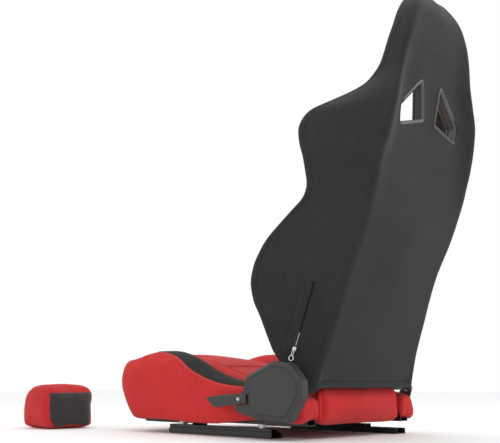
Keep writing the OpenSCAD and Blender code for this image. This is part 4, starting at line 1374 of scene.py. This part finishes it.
class SEAT_OT_bolsters(bpy.types.Operator):
    """Build the base's two bolsters and their black bands"""
    bl_idname = "seat.bolsters"
    bl_label = "Base bolsters"

    def execute(self, context):
        build_bolsters()
        build_bolster_bands(context.scene.seat_sewing)
        return {"FINISHED"}


class SEAT_OT_centre_cushion(bpy.types.Operator):
    """Build the centre cushion and its rear panel"""
    bl_idname = "seat.centre_cushion"
    bl_label = "Centre cushion"

    def execute(self, context):
        build_centre_cushion()
        return {"FINISHED"}


class SEAT_OT_covers(bpy.types.Operator):
    """Build the recliner's moulded cover and the recline lever"""
    bl_idname = "seat.covers"
    bl_label = "Covers and lever"

    def execute(self, context):
        build_side_cover()
        build_lever()
        return {"FINISHED"}


class SEAT_OT_support_pad(bpy.types.Operator):
    """Build the loose support pad and its hook panel"""
    bl_idname = "seat.support_pad"
    bl_label = "Support pad"

    def execute(self, context):
        build_support_pad()
        return {"FINISHED"}


class SEAT_OT_frame(bpy.types.Operator):
    """Give the rails, frame and fittings their finishes"""
    bl_idname = "seat.frame"
    bl_label = "Frame finishes"

    def execute(self, context):
        finish_frame()
        return {"FINISHED"}


class SEAT_OT_studio(bpy.types.Operator):
    """Set up floor, background, lights and camera"""
    bl_idname = "seat.studio"
    bl_label = "Studio"

    def execute(self, context):
        build_studio(context.scene.seat_studio)
        return {"FINISHED"}


STEPS = [SEAT_OT_back_cover, SEAT_OT_front_insert, SEAT_OT_back_seams, SEAT_OT_slot_trims,
         SEAT_OT_zip, SEAT_OT_bolsters, SEAT_OT_centre_cushion, SEAT_OT_covers,
         SEAT_OT_support_pad, SEAT_OT_frame, SEAT_OT_studio]


class SEAT_PT_panel(bpy.types.Panel):
    """Settings and building steps of the racing seat"""
    bl_idname = "SEAT_PT_panel"
    bl_label = "Racing seat"
    bl_space_type = "VIEW_3D"
    bl_region_type = "UI"
    bl_category = "Racing seat"

    def draw(self, context):
        layout = self.layout
        for group in (context.scene.seat_colours, context.scene.seat_sewing,
                      context.scene.seat_studio):
            box = layout.box()
            for key in group.__annotations__:
                box.prop(group, key)
        for step in STEPS:
            layout.operator(step.bl_idname)


CLASSES = [SeatColours, SeatSewing, SeatStudio, *STEPS, SEAT_PT_panel]


def register():
    """Registers the settings, the operators and the panel."""
    for cls in CLASSES:
        bpy.utils.register_class(cls)
    bpy.types.Scene.seat_colours = PointerProperty(type=SeatColours)
    bpy.types.Scene.seat_sewing = PointerProperty(type=SeatSewing)
    bpy.types.Scene.seat_studio = PointerProperty(type=SeatStudio)


def unregister():
    """Removes everything that register adds."""
    del bpy.types.Scene.seat_studio
    del bpy.types.Scene.seat_sewing
    del bpy.types.Scene.seat_colours
    for cls in reversed(CLASSES):
        bpy.utils.unregister_class(cls)


def main():
    """Builds the seat step by step."""
    register()
    make_finishes(bpy.context.scene.seat_colours)
    for step in STEPS:
        group, name = step.bl_idname.split(".")
        getattr(getattr(bpy.ops, group), name)()


if __name__ == "__main__":
    main()
